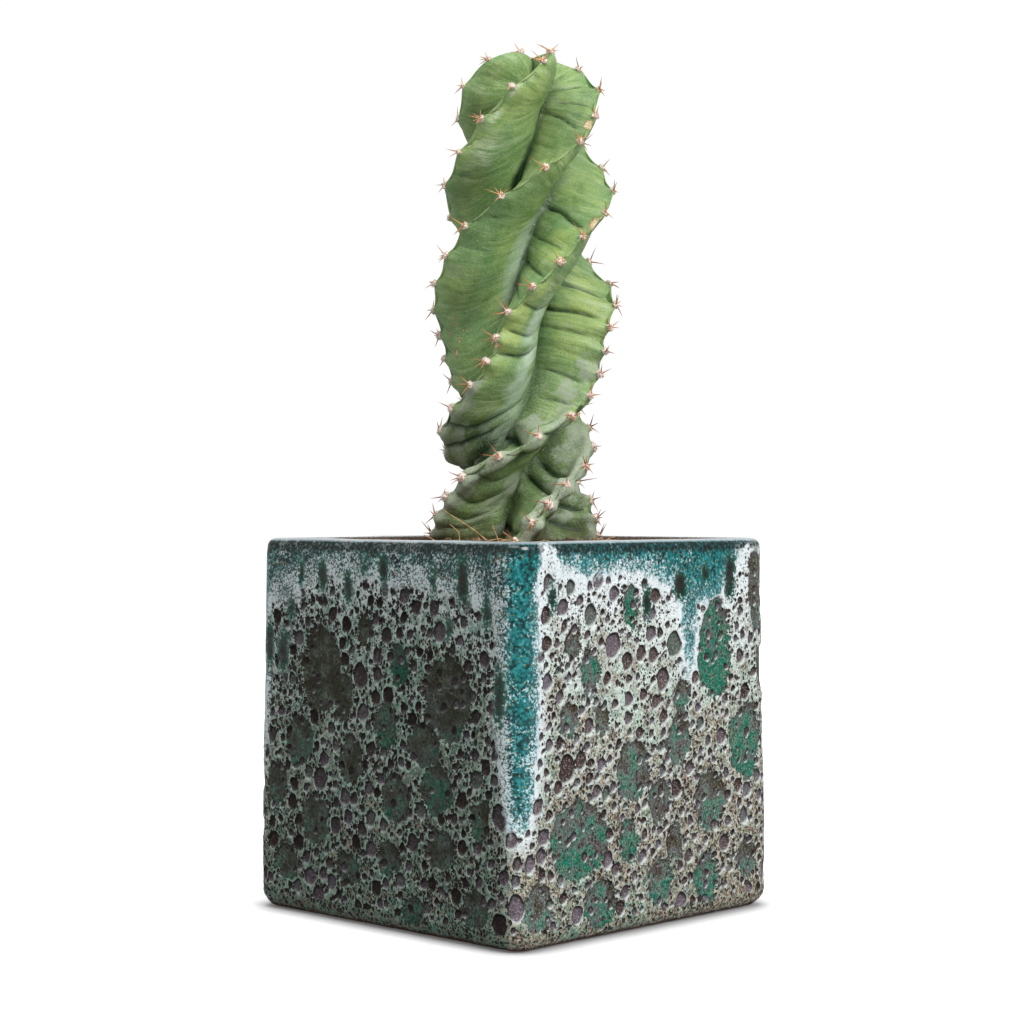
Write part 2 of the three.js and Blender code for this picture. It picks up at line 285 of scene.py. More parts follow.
def rib_parts(per_rib):
    """Columns from one crest to the next, closer together at the crests."""
    even = np.arange(per_rib) / per_rib
    return even - CROWDING * np.sin(2 * np.pi * even)


# Patches seen on the stem: level, place round the stem in ribs, half height in millimetres, half width in
# ribs, and strength
PATCHES = {
    # The fresh patches are partly painted light: lighter, yellower skin on sunlit lobes and crest tops
    "fresh": [(306, 1.18, 15, 0.17, 0.6), (271, 2.84, 11, 0.13, 0.45), (222, 3.1, 15, 0.11, 0.9),
        (206, 3.1, 9, 0.09, 0.5), (227, 3.88, 13, 0.11, 0.9), (213, 3.86, 10, 0.1, 0.6),
        (168, 0.42, 10, 0.1, 0.6), (155, 0.62, 9, 0.06, 0.5), (185, 3.3, 11, 0.08, 0.5),
        (247, 2.9, 8, 0.1, 0.5), (240, 2.2, 9, 0.1, 0.3), (312, 1.88, 9, 0.12, 0.15)],
    "frost": [(288, 1.22, 7, 0.13, 0.55), (308, 1.05, 3, 0.04, 0.7), (299, 1.09, 3.5, 0.05, 0.7),
        (152, 0.4, 6, 0.1, 0.6), (148, 0.32, 2, 0.12, 0.6), (155, 0.12, 4, 0.06, 0.4),
        (262, 2.62, 5, 0.12, 0.4), (234, 3.24, 6, 0.1, 0.4)],
    "cork": [(197, 3.05, 7, 0.07, 0.8), (188, 3.1, 8, 0.09, 0.9), (180, 3.2, 8, 0.12, 0.8),
        (174, 3.25, 6, 0.1, 0.6), (203, 3.97, 8, 0.07, 0.7), (192, 3.9, 8, 0.08, 0.7),
        (180, 3.85, 5, 0.12, 0.8), (175, 3.85, 4, 0.1, 0.7), (169, 0.9, 9, 0.12, 0.6),
        (162, 0.9, 7, 0.1, 0.5), (147, 1.82, 6, 0.12, 0.7), (153, 1.95, 6, 0.08, 0.5),
        (168, 0.05, 5, 0.1, 0.4), (158, 0.93, 5, 0.08, 0.5)],
    # The dark patches are painted shade
    "dark": [(270, 1.6, 19, 0.09, 1.0), (279, 1.22, 8, 0.16, 0.35), (173, 3.46, 9, 0.12, 0.9),
        (182, 3.3, 8, 0.1, 0.5), (232, 2.3, 10, 0.15, 0.3), (200, 3.72, 8, 0.08, 0.4),
        (171, 0.78, 6, 0.08, 0.5), (315, 0.2, 14, 0.14, 0.3), (150, 0.56, 8, 0.06, 0.6),
        (290, 1.8, 20, 0.28, 0.42), (300, 0.3, 22, 0.2, 0.15)],
    "bloom": [(250, 2.48, 14, 0.07, 0.7), (240, 2.52, 12, 0.07, 0.75), (228, 2.54, 8, 0.06, 0.6),
        (262, 2.5, 8, 0.07, 0.5), (222, 3.28, 12, 0.08, 0.8), (208, 3.33, 14, 0.1, 0.95),
        (192, 3.4, 12, 0.08, 0.8), (180, 3.48, 8, 0.05, 0.5)],
    "scar": [(296, 1.99, 2.2, 0.035, 1), (259, 2.99, 2.4, 0.03, 1), (215, 3.0, 3, 0.02, 0.9),
        (212.5, 3.02, 1.3, 0.04, 0.9), (227.5, 2.22, 1.3, 0.022, 0.7), (219.4, 2.24, 1.8, 0.018, 0.7),
        (214.4, 2.22, 2.2, 0.018, 0.75), (222.5, 2.28, 1.2, 0.022, 0.7), (224.5, 2.2, 1.1, 0.022, 0.6),
        (221, 2.16, 1.2, 0.02, 0.6), (241, 0.6, 2, 0.03, 0.9), (188, 1.0, 2, 0.04, 0.9)],
}


def patches_of(kind, level, turn, ragged):
    """How much of a kind of patch there is at each point."""
    total = np.zeros_like(level)
    for at, way, half_up, half_around, strength in PATCHES[kind]:
        side = ((turn - way + RIBS / 2) % RIBS - RIBS / 2) / half_around
        far = np.hypot((level - at) / half_up, side)
        total = np.maximum(total, strength * smooth(far + ragged, 1.25, 0.35))
    return total


def stem_relief(level, turn, points, crest_gap, sizes):
    """Height of the folds, notches and wrinkles, and how much painted shade their creases get, on a grid of
    points.
    """
    part = turn % 1
    steep = part >= FURROW_PLACE
    rib = (np.floor(turn) + steep) % RIBS
    away = np.where(steep, (1 - part) / (1 - FURROW_PLACE), part / FURROW_PLACE)
    number = number_at(level) - rib_phase(turn)
    low = 1 - smooth(level, 168, 215)
    upper = smooth(level, SEAT, SHOULDER)
    free = smooth(level, SEAT - 8, SEAT) * (1 - smooth(level, SHOULDER + 6, SHOULDER + 32))
    near_crest = 1 - smooth(away, 0, 0.26)
    middle = smooth(level, 168, 184) * (1 - smooth(level, 212, 240))
    sway = (0.09 * bumps(points, 7, 6) + 0.25 * low * bumps(points, 13, 9)) * smooth(away, 0.1, 0.5)
    relief, sharp = np.zeros_like(level), np.zeros_like(level)
    whole = np.floor(number - NOTCH_PLACE)
    for fold in (whole, whole + 1):
        luck, shift, extent = (chance(rib, fold + 20, steep, seed) for seed in (3, 4, 5))
        wander = mix(0.3, 0.7, low) * (shift - 0.5) * smooth(away, 0.05, 0.5) + sway
        apart = np.abs(number - NOTCH_PLACE - fold - wander)
        dip = 1 - smooth(apart, 0.03, 0.6)
        crease = np.exp(-apart / mix(0.07, 0.04, upper)) * smooth(away, 0.03, 0.22)
        end = np.where(steep, 0.75 + 0.6 * extent, mix(0.4 + 0.45 * extent, 0.75 + 0.3 * extent, low))
        reach = 1 - smooth(away, end - 0.35, end)
        steep_strength = (0.22 + 1.3 * luck ** 1.7) * mix(2.4, 1.35, upper)
        full_strength = 0.16 + 0.8 * luck ** 2 + 0.3 * low * smooth(luck, 0.3, 0.6)
        full_strength *= mix(1.5, 0.85, upper) + 0.9 * middle
        strength = np.where(steep, steep_strength, full_strength) * reach
        strength *= mix(1, smooth(luck, 0.2, 0.45), low)
        relief -= sizes.fold_depth / MM * strength * (0.55 * dip + 0.75 * crease)
        relief -= mix(1.15, 0.95, upper) * near_crest * dip ** 1.6
        # Each crease also gets painted shade, as strong as its fold
        sharp += crease * strength
    across = np.stack([number, 0.3 * away, 7.3 * rib + 3.1 * steep], axis=-1)
    line = np.exp(-np.abs(bumps(across, 0.55, 8)) / 0.05) * smooth(away, 0.12, 0.4)
    line *= smooth(bumps(points, 12, 10), -0.3, 0.5)
    relief -= 0.22 * line
    relief += 0.45 * near_crest * np.exp(-((number - np.round(number)) / 0.2) ** 2)
    relief += sizes.crest_lip / MM * np.exp(-(crest_gap / 0.6) ** 2) * (1 - low)
    # Low down the ribs are swollen right up to their crests
    relief += 2.1 * low * np.exp(-((crest_gap - 2.8) / 2.6) ** 2)
    stretched = points * np.array([1, 1, 1.6])
    wrinkles = 0.22 * bumps(stretched, 9, 1) + 0.09 * bumps(stretched, 3.2, 2)
    wrinkles += low * (0.9 * bumps(points, 8, 4) + 0.22 * bumps(points, 3, 5))
    relief = free * relief + wrinkles * smooth(level, SEAT - 8, SEAT)
    # The creases and the thin lines give the painted shade
    return relief, np.clip(free * (sharp + 0.45 * line), 0, 1.2), low, across


# Kinds of node, the last of them with a setting
MATH, VECTORS, STEP, MIX, RAMP, NOISE, CELLS, ATTRIBUTE, COORDINATES, BUMP, COMBINE, SEPARATE, LIGHT_PATH = (
    "ShaderNode" + name for name in (
        "Math", "VectorMath", "MapRange", "Mix", "ValToRGB", "TexNoise", "TexVoronoi", "Attribute",
        "TexCoord", "Bump", "CombineXYZ", "SeparateXYZ", "LightPath"))
STORED, STORE, POSITION, SET_POSITION, SPREAD, INSTANCES, REALIZE, SHADE_SMOOTH, SET_MATERIAL, BALL, CONE = (
    "GeometryNode" + name for name in (
        "InputNamedAttribute", "StoreNamedAttribute", "InputPosition", "SetPosition",
        "DistributePointsOnFaces", "InstanceOnPoints", "RealizeInstances", "SetShadeSmooth", "SetMaterial",
        "MeshIcoSphere", "MeshCone"))
RANDOM, ALIGN = "FunctionNodeRandomValue", "FunctionNodeAlignRotationToVector"
PLUS, MINUS, TIMES, TIMES_PLUS, LEAST, MOST, SIZE_OF, POWER = (
    (MATH, {"operation": name})
    for name in ("ADD", "SUBTRACT", "MULTIPLY", "MULTIPLY_ADD", "MINIMUM", "MAXIMUM", "ABSOLUTE", "POWER"))
BLEND, BLEND_VALUES = ((MIX, {"data_type": kind}) for kind in ("RGBA", "FLOAT"))


def connect(tree, node, links):
    """Set a node's inputs, in order or by name or place, to values, colours or other nodes' outputs."""
    for key, value in links.items() if isinstance(links, dict) else enumerate(links):
        socket = node.inputs[key]
        if isinstance(value, bpy.types.NodeSocket):
            tree.links.new(value, socket)
        elif value is not None:
            socket.default_value = rgba(value) if socket.type == "RGBA" else value


def add(tree, kind, links=(), out=0, stops=(), **settings):
    """Add a node and give one of its outputs, or the node itself where out is None.

    kind is one of the kinds above or a node's own name. stops are the places and colours of a ramp.
    """
    kind, usual = (kind, {}) if isinstance(kind, str) else kind
    node = tree.nodes.new(kind)
    for name, value in {**usual, **settings}.items():
        setattr(node, name, value)
    connect(tree, node, links)
    if stops:
        elements = node.color_ramp.elements
        while len(elements) < len(stops):
            elements.new(0.5)
        for element, (place, colour) in zip(elements, stops):
            element.position, element.color = place, rgba(colour)
    return node if out is None else node.outputs[out]


def shifted(tree, value, noise, most):
    """A value moved up or down by a noise, by no more than the most."""
    return add(tree, PLUS, [value, add(tree, STEP, [noise, 0.3, 0.7, -most, most])])


def paint(tree, colour, layers):
    """Lay shades over a colour, one by one. A layer is its shares, which are multiplied, and its shade.

    A share is an output, a number, or a list of what a range is made from.
    """
    for *shares, shade in layers:
        share, *others = (add(tree, STEP, one) if isinstance(one, list) else one for one in shares)
        for other in others:
            share = add(tree, TIMES, [share, other])
        colour = add(tree, BLEND, {0: share, 6: colour, 7: shade}, 2)
    return colour


def new_material(name):
    """An empty procedural material: its node tree and its surface shader."""
    material = bpy.data.materials.new(name)
    material.use_nodes = True
    tree = material.node_tree
    shader = tree.nodes["Principled BSDF"]
    return material, tree, shader


def new_piece(name, points, faces, fields=None, smooth_faces=True):
    """A mesh object from points in millimetres, with a number for each point in each field."""
    mesh = bpy.data.meshes.new(name)
    mesh.from_pydata((points * MM).tolist(), [], faces)
    for key, values in (fields or {}).items():
        values = np.asarray(values, np.float32)
        kind, slot = ("FLOAT_VECTOR", "vector") if values.ndim == 2 else ("FLOAT", "value")
        mesh.attributes.new(key, kind, "POINT").data.foreach_set(slot, values.ravel())
    mesh.polygons.foreach_set("use_smooth", [smooth_faces] * len(mesh.polygons))
    mesh.update()
    piece = bpy.data.objects.new(name, mesh)
    bpy.context.collection.objects.link(piece)
    return piece


def ring_faces(rows, columns, foot, top):
    """Faces between rings of equally many points, closed by a fan to one point at each end."""
    row, column = (values.ravel() for values in np.mgrid[0:rows - 1, 0:columns])
    beside = (column + 1) % columns
    quads = np.stack([row * columns + column, row * columns + beside,
                      (row + 1) * columns + beside, (row + 1) * columns + column], axis=-1).tolist()
    last = (rows - 1) * columns
    fans = [[foot, (i + 1) % columns, i] for i in range(columns)]
    fans += [[top, last + i, last + (i + 1) % columns] for i in range(columns)]
    return quads + fans


def seat(piece, material, slot, *nodes):
    """Give a finished piece its material and its place on the part, and hide the nodes that it stands for."""
    piece.data.materials.clear()
    piece.data.materials.append(material)
    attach(piece, "root")
    if nodes:
        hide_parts(*nodes)


def new_group(name, sockets):
    """A geometry node tree with named inputs, and its input and output nodes."""
    tree = bpy.data.node_groups.new(name, "GeometryNodeTree")
    tree.interface.new_socket("Geometry", in_out="INPUT", socket_type="NodeSocketGeometry")
    tree.interface.new_socket("Geometry", in_out="OUTPUT", socket_type="NodeSocketGeometry")
    for label, kind, value in sockets:
        socket = tree.interface.new_socket(label, in_out="INPUT", socket_type="NodeSocket" + kind)
        if value is not None:
            socket.default_value = value
    given, result = (add(tree, f"NodeGroup{way}", out=None) for way in ("Input", "Output"))
    return tree, given.outputs, result.inputs


def end_group(tree, result, shape, material):
    """Give the shape that a geometry node tree makes its material, and hand the shape out."""
    shape = add(tree, SET_MATERIAL, {"Geometry": shape, "Material": material})
    tree.links.new(shape, result["Geometry"])
    return tree


def grow(name, base, tree, values, material):
    """Run a geometry node tree on a base object and keep what it makes as a plain mesh."""
    modifier = base.modifiers.new(name, "NODES")
    modifier.node_group = tree
    for socket in tree.interface.items_tree:
        if socket.in_out == "INPUT" and socket.name in values:
            modifier[socket.identifier] = values[socket.name]
    graph = bpy.context.evaluated_depsgraph_get()
    mesh = bpy.data.meshes.new_from_object(base.evaluated_get(graph), depsgraph=graph)
    base.modifiers.remove(modifier)
    bpy.data.objects.remove(base)
    if not mesh.polygons:
        raise RuntimeError(f"{name} came out empty")
    mesh.name = name
    piece = bpy.data.objects.new(name, mesh)
    bpy.context.collection.objects.link(piece)
    mesh.materials.clear()
    mesh.materials.append(material)
    return piece


class StemSettings(bpy.types.PropertyGroup):
    """Sizes and colours of the twisted stem."""

    columns: IntProperty(
        name="Columns", description="Columns of the skin from one crest to the next", default=72, min=12)
    fold_depth: length("Fold depth", "How deep the folds cut into the flanks", 1.15)
    crest_lip: length("Crest lip", "How far the thin ridge stands up along a crest", 0.2)
    green: hue("Green", "The skin on an open flank", "#769a60")
    fresh: hue("Fresh green", "New skin and sunlit patches", "#abbf6c")
    deep: hue("Deep green", "Shaded furrows and creases", "#1e3a1b")
    aged: hue("Aged green", "The skin low on the stem", "#6f8652")
    bloom: hue("Bloom", "The blue-grey wax beside a furrow", "#bdd2bb")
    cork: hue("Cork", "The silvery dead skin low on the stem", "#a3ad99")


def cactus_skin(colours):
    """Waxy skin of a columnar cactus: grown, smooth, with a dull sheen where its wax is whole."""
    material, tree, shader = new_material("waxy_cactus_skin")
    place = add(tree, COORDINATES, out="Object")
    crease, bloom, cork, crest, fresh, depth, aged, scar, frost, soiled = (
        add(tree, ATTRIBUTE, out="Fac", attribute_name=name)
        for name in ("crease", "bloom", "cork", "crest", "fresh", "depth", "aged", "scar", "frost", "soiled"))
    wide, streak, fine, speck = (
        add(tree, NOISE, {"Vector": place, "Scale": 1 / (size * MM), "Detail": detail})
        for size, detail in ((15, 3.0), (4.5, 4.0), (1.6, 4.0), (0.6, 2.0)))
    # Wax and fine creases run from the crests down the flanks; one step along the first axis is about 9 mm
    flow = add(tree, ATTRIBUTE, out="Vector", attribute_name="across")
    brush = add(tree, NOISE, {"Vector": flow, "Scale": 6.5, "Detail": 4.0, "Distortion": 0.3})
    hatch = add(tree, NOISE, {"Vector": flow, "Scale": 20.0, "Detail": 2.0, "Distortion": 0.4})
    some = add(tree, STEP, [wide, 0.35, 0.62, 0.12, 0.6])
    # Stomata and wax specks are 0.1 to 0.3 mm, drawn at 0.6 mm so that they show
    cell = add(tree, CELLS, {"Vector": place, "Scale": 1 / (4.2 * MM)}, None)
    dot, luck = cell.outputs["Distance"], cell.outputs["Color"]
    # Dead skin ends in ragged, sharp edges
    flake = shifted(tree, shifted(tree, cork, streak, 0.3), fine, 0.15)
    torn = shifted(tree, scar, speck, 0.35)
    colour = paint(tree, colours.green, [
        ([wide, 0.38, 0.66, 0.0, 0.55], colours.fresh),
        # Painted light on the sunlit patches and raised pillows
        (fresh, colours.fresh),
        ([streak, 0.52, 0.7, 0.0, 0.45], "#54803f"),
        ([streak, 0.42, 0.28, 0.0, 0.4], "#a2bd8c"),
        (some, [brush, 0.52, 0.7], "#b9cda4"),
        (some, [brush, 0.48, 0.3], "#42703a"),
        (some, [hatch, 0.6, 0.72, 0.0, 0.6], "#c6d6b6"),
        ([speck, 0.52, 0.72, 0.0, 0.3], "#c3d2b0"),
        ([speck, 0.46, 0.28, 0.0, 0.35], "#456b35"),
        (aged, colours.aged),
        # Painted shade in the furrows, the dark patches and the sunken folds
        (depth, colours.deep),
        (bloom, [fine, 0.25, 0.6, 0.75, 1.0], colours.bloom),
        ([flake, 0.36, 0.74, 0.0, 0.8], colours.cork),
        (aged, [speck, 0.5, 0.62, 0.0, 0.35], "#b9c4ae"),
        (aged, [speck, 0.46, 0.34, 0.0, 0.5], "#3d5130"),
        # Painted highlights: pale waxy streaks low on the stem
        (aged, [wide, 0.5, 0.6], [hatch, 0.6, 0.7, 0.0, 0.7], "#ccd5c6"),
        (frost, [hatch, 0.4, 0.62, 0.1, 0.95], "#d5e0c8"),
        # Painted shade darkens the creases
        ([crease, 0.15, 1.1, 0.0, 0.85], colours.deep),
        (crest, [speck, 0.4, 0.6, 0.2, 0.8], "#c9c592"),
        ([dot, 0.075, 0.05], [luck, 0.6, 0.7, 0.0, 0.75], "#dfe5cf"),
        ([torn, 0.3, 0.5, 0.0, 0.85], "#8d6a45"),
        ([torn, 0.5, 0.75], "#d8c49c"),
        # Painted shade and soil stain near the foot
        (soiled, [fine, 0.3, 0.6, 0.3, 0.85], "#4c3f2a"),
    ])
    rough = add(tree, STEP, [speck, 0.3, 0.7, 0.4, 0.56])
    rough = add(tree, TIMES_PLUS, [cork, 0.25, rough])
    height = add(tree, TIMES_PLUS, [speck, 0.35, fine])
    height = add(tree, TIMES_PLUS, [brush, 1.6, height])
    bump = add(tree, BUMP, {"Strength": 0.5, "Distance": 0.35 * MM, "Height": height})
    connect(tree, shader, {
        "Base Color": colour, "Roughness": rough, "Normal": bump, "IOR": 1.42, "Subsurface Weight": 0.1,
        "Subsurface Radius": (0.4, 1.0, 0.25), "Subsurface Scale": 2 * MM})
    return material


class CEREUS_OT_stem(bpy.types.Operator):
    """Make the twisted, folded stem"""

    bl_idname = "cereus.stem"
    bl_label = "Stem"

    def execute(self, context):
        sizes = context.scene.cereus_stem
        parts = rib_parts(sizes.columns)
        around = (np.arange(RIBS)[:, None] + parts).ravel()
        levels = np.concatenate([np.linspace(STEM_LOW + 1, SHOULDER, STEM_ROWS, endpoint=False),
                                 np.linspace(SHOULDER, SHOULDER + DOME_LENGTH - 0.4, DOME_ROWS)])
        level, turn = np.meshgrid(levels, around, indexing="ij")
        bare = bare_skin(level, turn)
        crest_gap, furrow_gap = way_across(bare)
        relief, crease, low, across = stem_relief(level, turn, bare, crest_gap, sizes)
        points = bare + facing(bare) * relief[..., None]
        broad = furrow_gap > 0
        ragged = 0.3 * bumps(bare, 5, 7) + 0.25 * bumps(bare, 2.2, 8)
        seen = {kind: patches_of(kind, level, turn, ragged) for kind in PATCHES}
        patch = 0.5 + 0.5 * bumps(bare, 9, 24)
        bloom = np.where(broad, np.exp(-((furrow_gap - 3) / 3.0) ** 2),
                         0.6 * np.exp(-(furrow_gap / 0.9) ** 2))
        top = np.where(np.floor(turn) == 1, 240, 276)
        bloom *= smooth(level, 150, 178) * (1 - smooth(level, top - 14, top + 14))
        bloom *= 0.2 + 0.8 * smooth(bumps(bare, 30, 21), -0.1, 0.5)
        bloom = np.maximum(0.55 * bloom, seen["bloom"])
        # Painted shade: darker in the furrows, on the steep flank before each crest, in the dark patches and
        # in the sunken folds low on the stem
        depth = np.where(broad, 0.8 * np.exp(-(furrow_gap / 0.7) ** 2), 0.95 * np.exp(furrow_gap / 3.8))
        depth = np.maximum(depth * (1 - 0.3 * low), seen["dark"]) + 0.35 * low * smooth(relief, -0.2, -2.2)
        aged = low * (0.7 + 0.3 * bumps(bare, 14, 22)) * (1 - 0.9 * seen["fresh"])
        cork = low * smooth(patch + 0.5 * np.exp(-crest_gap / 5) + 0.12 * relief, 0.48, 0.95)
        cork = np.maximum(0.9 * cork, seen["cork"])
        crest = 0.3 * np.exp(-(crest_gap / 0.45) ** 2) * (1 - low) * smooth(bumps(bare, 6, 25), -0.5, 0.6)
        fresh = 0.5 * smooth(bumps(bare, 17, 9), 0.25, 0.9) * smooth(level, 190, 240)
        fresh *= smooth(crest_gap, 1, 7)
        # Raised pillows get painted light
        fresh = np.maximum(fresh, seen["fresh"]) + 0.25 * smooth(relief, 0.1, 1.0)
        rows, columns = level.shape
        ends = np.stack([axis_point(np.array(STEM_LOW)), points[-1].mean(axis=0)])
        # Painted shade and soil stain: the skin darkens and browns towards the soil
        soiled = smooth(points[..., 2] + 3 * bumps(bare, 4, 26), 149, 138)
        fields = {
            "soiled": soiled, "crease": crease, "bloom": bloom, "depth": depth, "cork": cork, "crest": crest,
            "fresh": fresh, "aged": aged, "scar": seen["scar"], "frost": seen["frost"]}
        fields = {key: np.append(values.ravel(), [0, 0]) for key, values in fields.items()}
        fields["across"] = np.concatenate([across.reshape(-1, 3), np.zeros((2, 3))])
        every_point = np.concatenate([points.reshape(-1, 3), ends])
        count = rows * columns
        stem = new_piece("stem_skin", every_point, ring_faces(rows, columns, count, count + 1), fields)
        seat(stem, cactus_skin(sizes), "cactus_skin", "stem")
        return {"FINISHED"}


# Pot: the same cube as the solid's, with the craters, pools and drips of its glaze

RIM_ROUND = 3.4
FOOT_ROUND = 6.5
WALL = 8.0
CORNER = 9.0
POT_TOP_HALF = 69.4
INSIDE_FLOOR = 9.0
# Round the pot, a side is this long from edge to edge, and this half of it is straight
SIDE = 140.0
STRAIGHT = 61.5
# Columns of each side, fewer on the two that the photo doesn't show, and of each rounded edge
SIDE_COLUMNS = (132, 132, 98, 98)
EDGE_COLUMNS = 14
WALL_ROWS = 146

# Large craters and pools. Side 0 faces -Y, 1 +X, 2 +Y and 3 -X; across runs to the right as one looks
# at a side. Then height, half width, half height, and tone: 0 brown, 0.5 grey, 1 green.
POOLS = [
    (0, -32, 92, 11.5, 16, 0.15), (0, 35, 85, 12, 15, 0.3), (0, 10, 96, 5, 8, 1.0),
    (0, 30, 53, 8, 10, 0.75), (0, 9, 48, 8, 9, 0.5), (0, 24, 68, 8, 8, 0.45), (0, -44, 65, 8, 9, 0.5),
    (0, -35, 36, 8, 9, 0.45), (0, -15, 60, 7, 9, 0.35), (0, 32, 32, 8, 7, 0.5), (0, 6, 26, 6, 7, 0.6),
    (0, -52, 19, 7, 7, 0.4), (0, 50, 13, 6, 7, 0.5), (0, -17, 20, 7, 7, 0.55), (0, 18, 9, 6, 5, 0.8),
    (0, -8, 108, 3.6, 6, 0.0), (0, -57, 48, 6, 8, 0.45), (0, 52, 44, 5, 9, 0.4), (0, -20, 84, 6, 9, 0.2),
    (0, 3, 74, 6, 8, 0.7), (1, 36, 100, 9.5, 19, 1.0), (1, 54, 64, 9, 15, 0.8), (1, -39, 36, 15, 14, 0.75),
    (1, -10, 58, 9, 12, 0.6), (1, 33, 44, 9, 12, 0.55), (1, 4, 17, 7, 9, 0.6), (1, 30, 15, 7, 9, 0.9),
    (1, -41, 106, 4, 7, 0.4), (1, -11, 117, 4, 7, 0.95), (1, -26, 77, 4, 6, 0.2), (1, 15, 67, 7, 9, 0.5),
    (1, -28, 13, 8, 9, 0.65), (1, 4, 46, 6, 8, 0.6), (1, -44, 79, 5, 7, 0.5), (1, -59, 15, 7, 9, 0.45),
    (1, 54, 20, 6, 7, 0.5), (1, -33, 95, 5, 9, 0.75), (1, 12, 30, 5, 7, 0.45), (1, -13, 33, 5, 9, 0.85),
    (1, 17, 84, 5, 6, 0.55), (1, 62, 121, 5.5, 19, 0.35), (1, 66, 92, 5, 10, 0.2)]
# Dark windows in the top band: side, across, height, half width, half height
WINDOWS = [
    (0, -31, 127, 2.4, 5.5), (0, -17, 123, 2.2, 6), (0, 2, 130, 2.6, 6), (0, 43, 127, 3, 8.5),
    (0, -49, 114, 2, 4.5), (0, -54, 98, 3, 8), (0, -62, 100, 2.4, 9), (0, 55, 116, 2, 5),
    (0, 28, 126, 1.6, 4), (0, -43, 128, 1.6, 4), (0, -8, 131, 1.2, 3), (0, 61, 88, 2.2, 10),
    (0, 36, 110, 1.5, 3.5), (1, 16, 124, 3.2, 5), (1, -2, 118, 2.2, 5), (1, 45, 127, 3, 8),
    (1, -52, 121, 1.8, 4.5), (1, 30, 128, 2, 3), (2, -20, 126, 3, 7), (2, 8, 122, 2, 5),
    (2, 36, 128, 2.6, 6), (2, -48, 119, 2, 8), (3, -34, 124, 2.5, 6), (3, -6, 127, 3, 8),
    (3, 22, 121, 2, 5), (3, 50, 126, 2.4, 6)]
# How far the glossy band hangs below the rim, going round from the -X -Y edge; one side is 140 long
BAND = [
    (0, 26), (10, 24), (20, 21), (30, 18), (40, 14), (50, 17), (60, 13), (72, 16), (85, 17), (100, 18),
    (115, 20), (126, 25), (140, 30), (147, 24), (150.5, 3), (157, 3), (162, 10), (172, 12), (185, 12),
    (200, 13), (214, 15), (226, 19), (238, 25), (248, 22), (258, 11), (266, 4), (280, 4), (294, 22),
    (310, 17), (335, 13), (352, 22), (370, 14), (395, 19), (420, 30), (436, 24), (460, 15), (480, 20),
    (500, 13), (522, 18), (545, 15), (560, 26)]
# Tongues of glaze that ran down: place round the pot, half width, lowest height
TONGUES = [(140, 10, 34), (0, 7, 50), (560, 7, 50), (420, 9, 40), (302, 5, 96), (231, 5, 88), (345, 5, 84),
           (495, 6, 78)]


def wall_columns():
    """Columns round the pot: their share of the straight and of the corner, and their place round it."""
    columns = []
    for side in range(4):
        turn = np.array([[1, 0], [0, 1]], float)
        for _ in range(side):
            turn = np.array([[0, -1], [1, 0]]) @ turn
        middle = side * SIDE + SIDE / 2
        for t in np.linspace(-1, 1, SIDE_COLUMNS[side], endpoint=False):
            columns.append((turn @ (t, -1), turn @ (0, -1), middle + t * STRAIGHT))
        for angle in np.linspace(-90, 0, EDGE_COLUMNS, endpoint=False):
            bend = math.radians(angle)
            columns.append((turn @ (1, -1), turn @ (math.cos(bend), math.sin(bend)),
                            middle + STRAIGHT + (angle + 90) / 90 * (SIDE - 2 * STRAIGHT)))
    straight, corner, place = zip(*columns)
    return np.array(straight), np.array(corner), np.array(place)


def pot_rows():
    """Inset from the outside wall and height of each ring, from under the foot to the inside floor."""
    rows = [(40, 0.0), (20, 0.0), (10, 0.0)]
    for angle in np.radians([0, 18, 36, 54, 72]):
        rows.append((FOOT_ROUND * (1 - math.sin(angle)), FOOT_ROUND * (1 - math.cos(angle))))
    rows += [(0.0, height) for height in np.linspace(FOOT_ROUND, POT_HIGH[2] - RIM_ROUND, WALL_ROWS)]
    for angle in np.radians(np.linspace(15, 180, 12)):
        reach = RIM_ROUND if angle <= math.pi / 2 else WALL - RIM_ROUND
        rows.append((RIM_ROUND - reach * math.cos(angle), POT_HIGH[2] - RIM_ROUND * (1 - math.sin(angle))))
    rows += [(WALL, height) for height in (136, 134.5, 133, 131.5, 130, 128, 125, 100, INSIDE_FLOOR)]
    return rows


def pot_points(straight, corner):
    """A grid of points on the pot, before its glaze."""
    grid = []
    for inset, height in pot_rows():
        half = mix(POT_HIGH[0], POT_TOP_HALF, height / POT_HIGH[2]) - inset
        radius = CORNER - min(max(inset, 0), 6)
        flat = straight * (half - radius) + corner * radius
        grid.append(np.column_stack([flat, np.full(len(flat), height)]))
    return np.array(grid)


def nearest_oval(points, ovals):
    """Millimetres outside the nearest oval on the walls, negative inside it, and which oval that is."""
    gap = np.full(points.shape[:-1], 60.0)
    which = np.zeros(points.shape[:-1], int)
    for number, (side, across, height, half_width, half_height) in enumerate(ovals):
        turn = Matrix.Rotation(side * math.pi / 2, 3, "Z")
        centre = np.array(turn @ Vector((across, -70.2, height)))
        along = np.array(turn @ Vector((1, 0, 0)))
        out = np.array(turn @ Vector((0, -1, 0)))
        apart = points - centre
        far = np.hypot((apart @ along) / half_width, apart[..., 2] / half_height)
        here = (far - 1) * min(half_width, half_height) + np.maximum(0, -(apart @ out) - 4)
        which = np.where(here < gap, number, which)
        gap = np.minimum(gap, here)
    return gap, which


# Pools on each side that the photo doesn't show
SEEDED_POOLS = 24


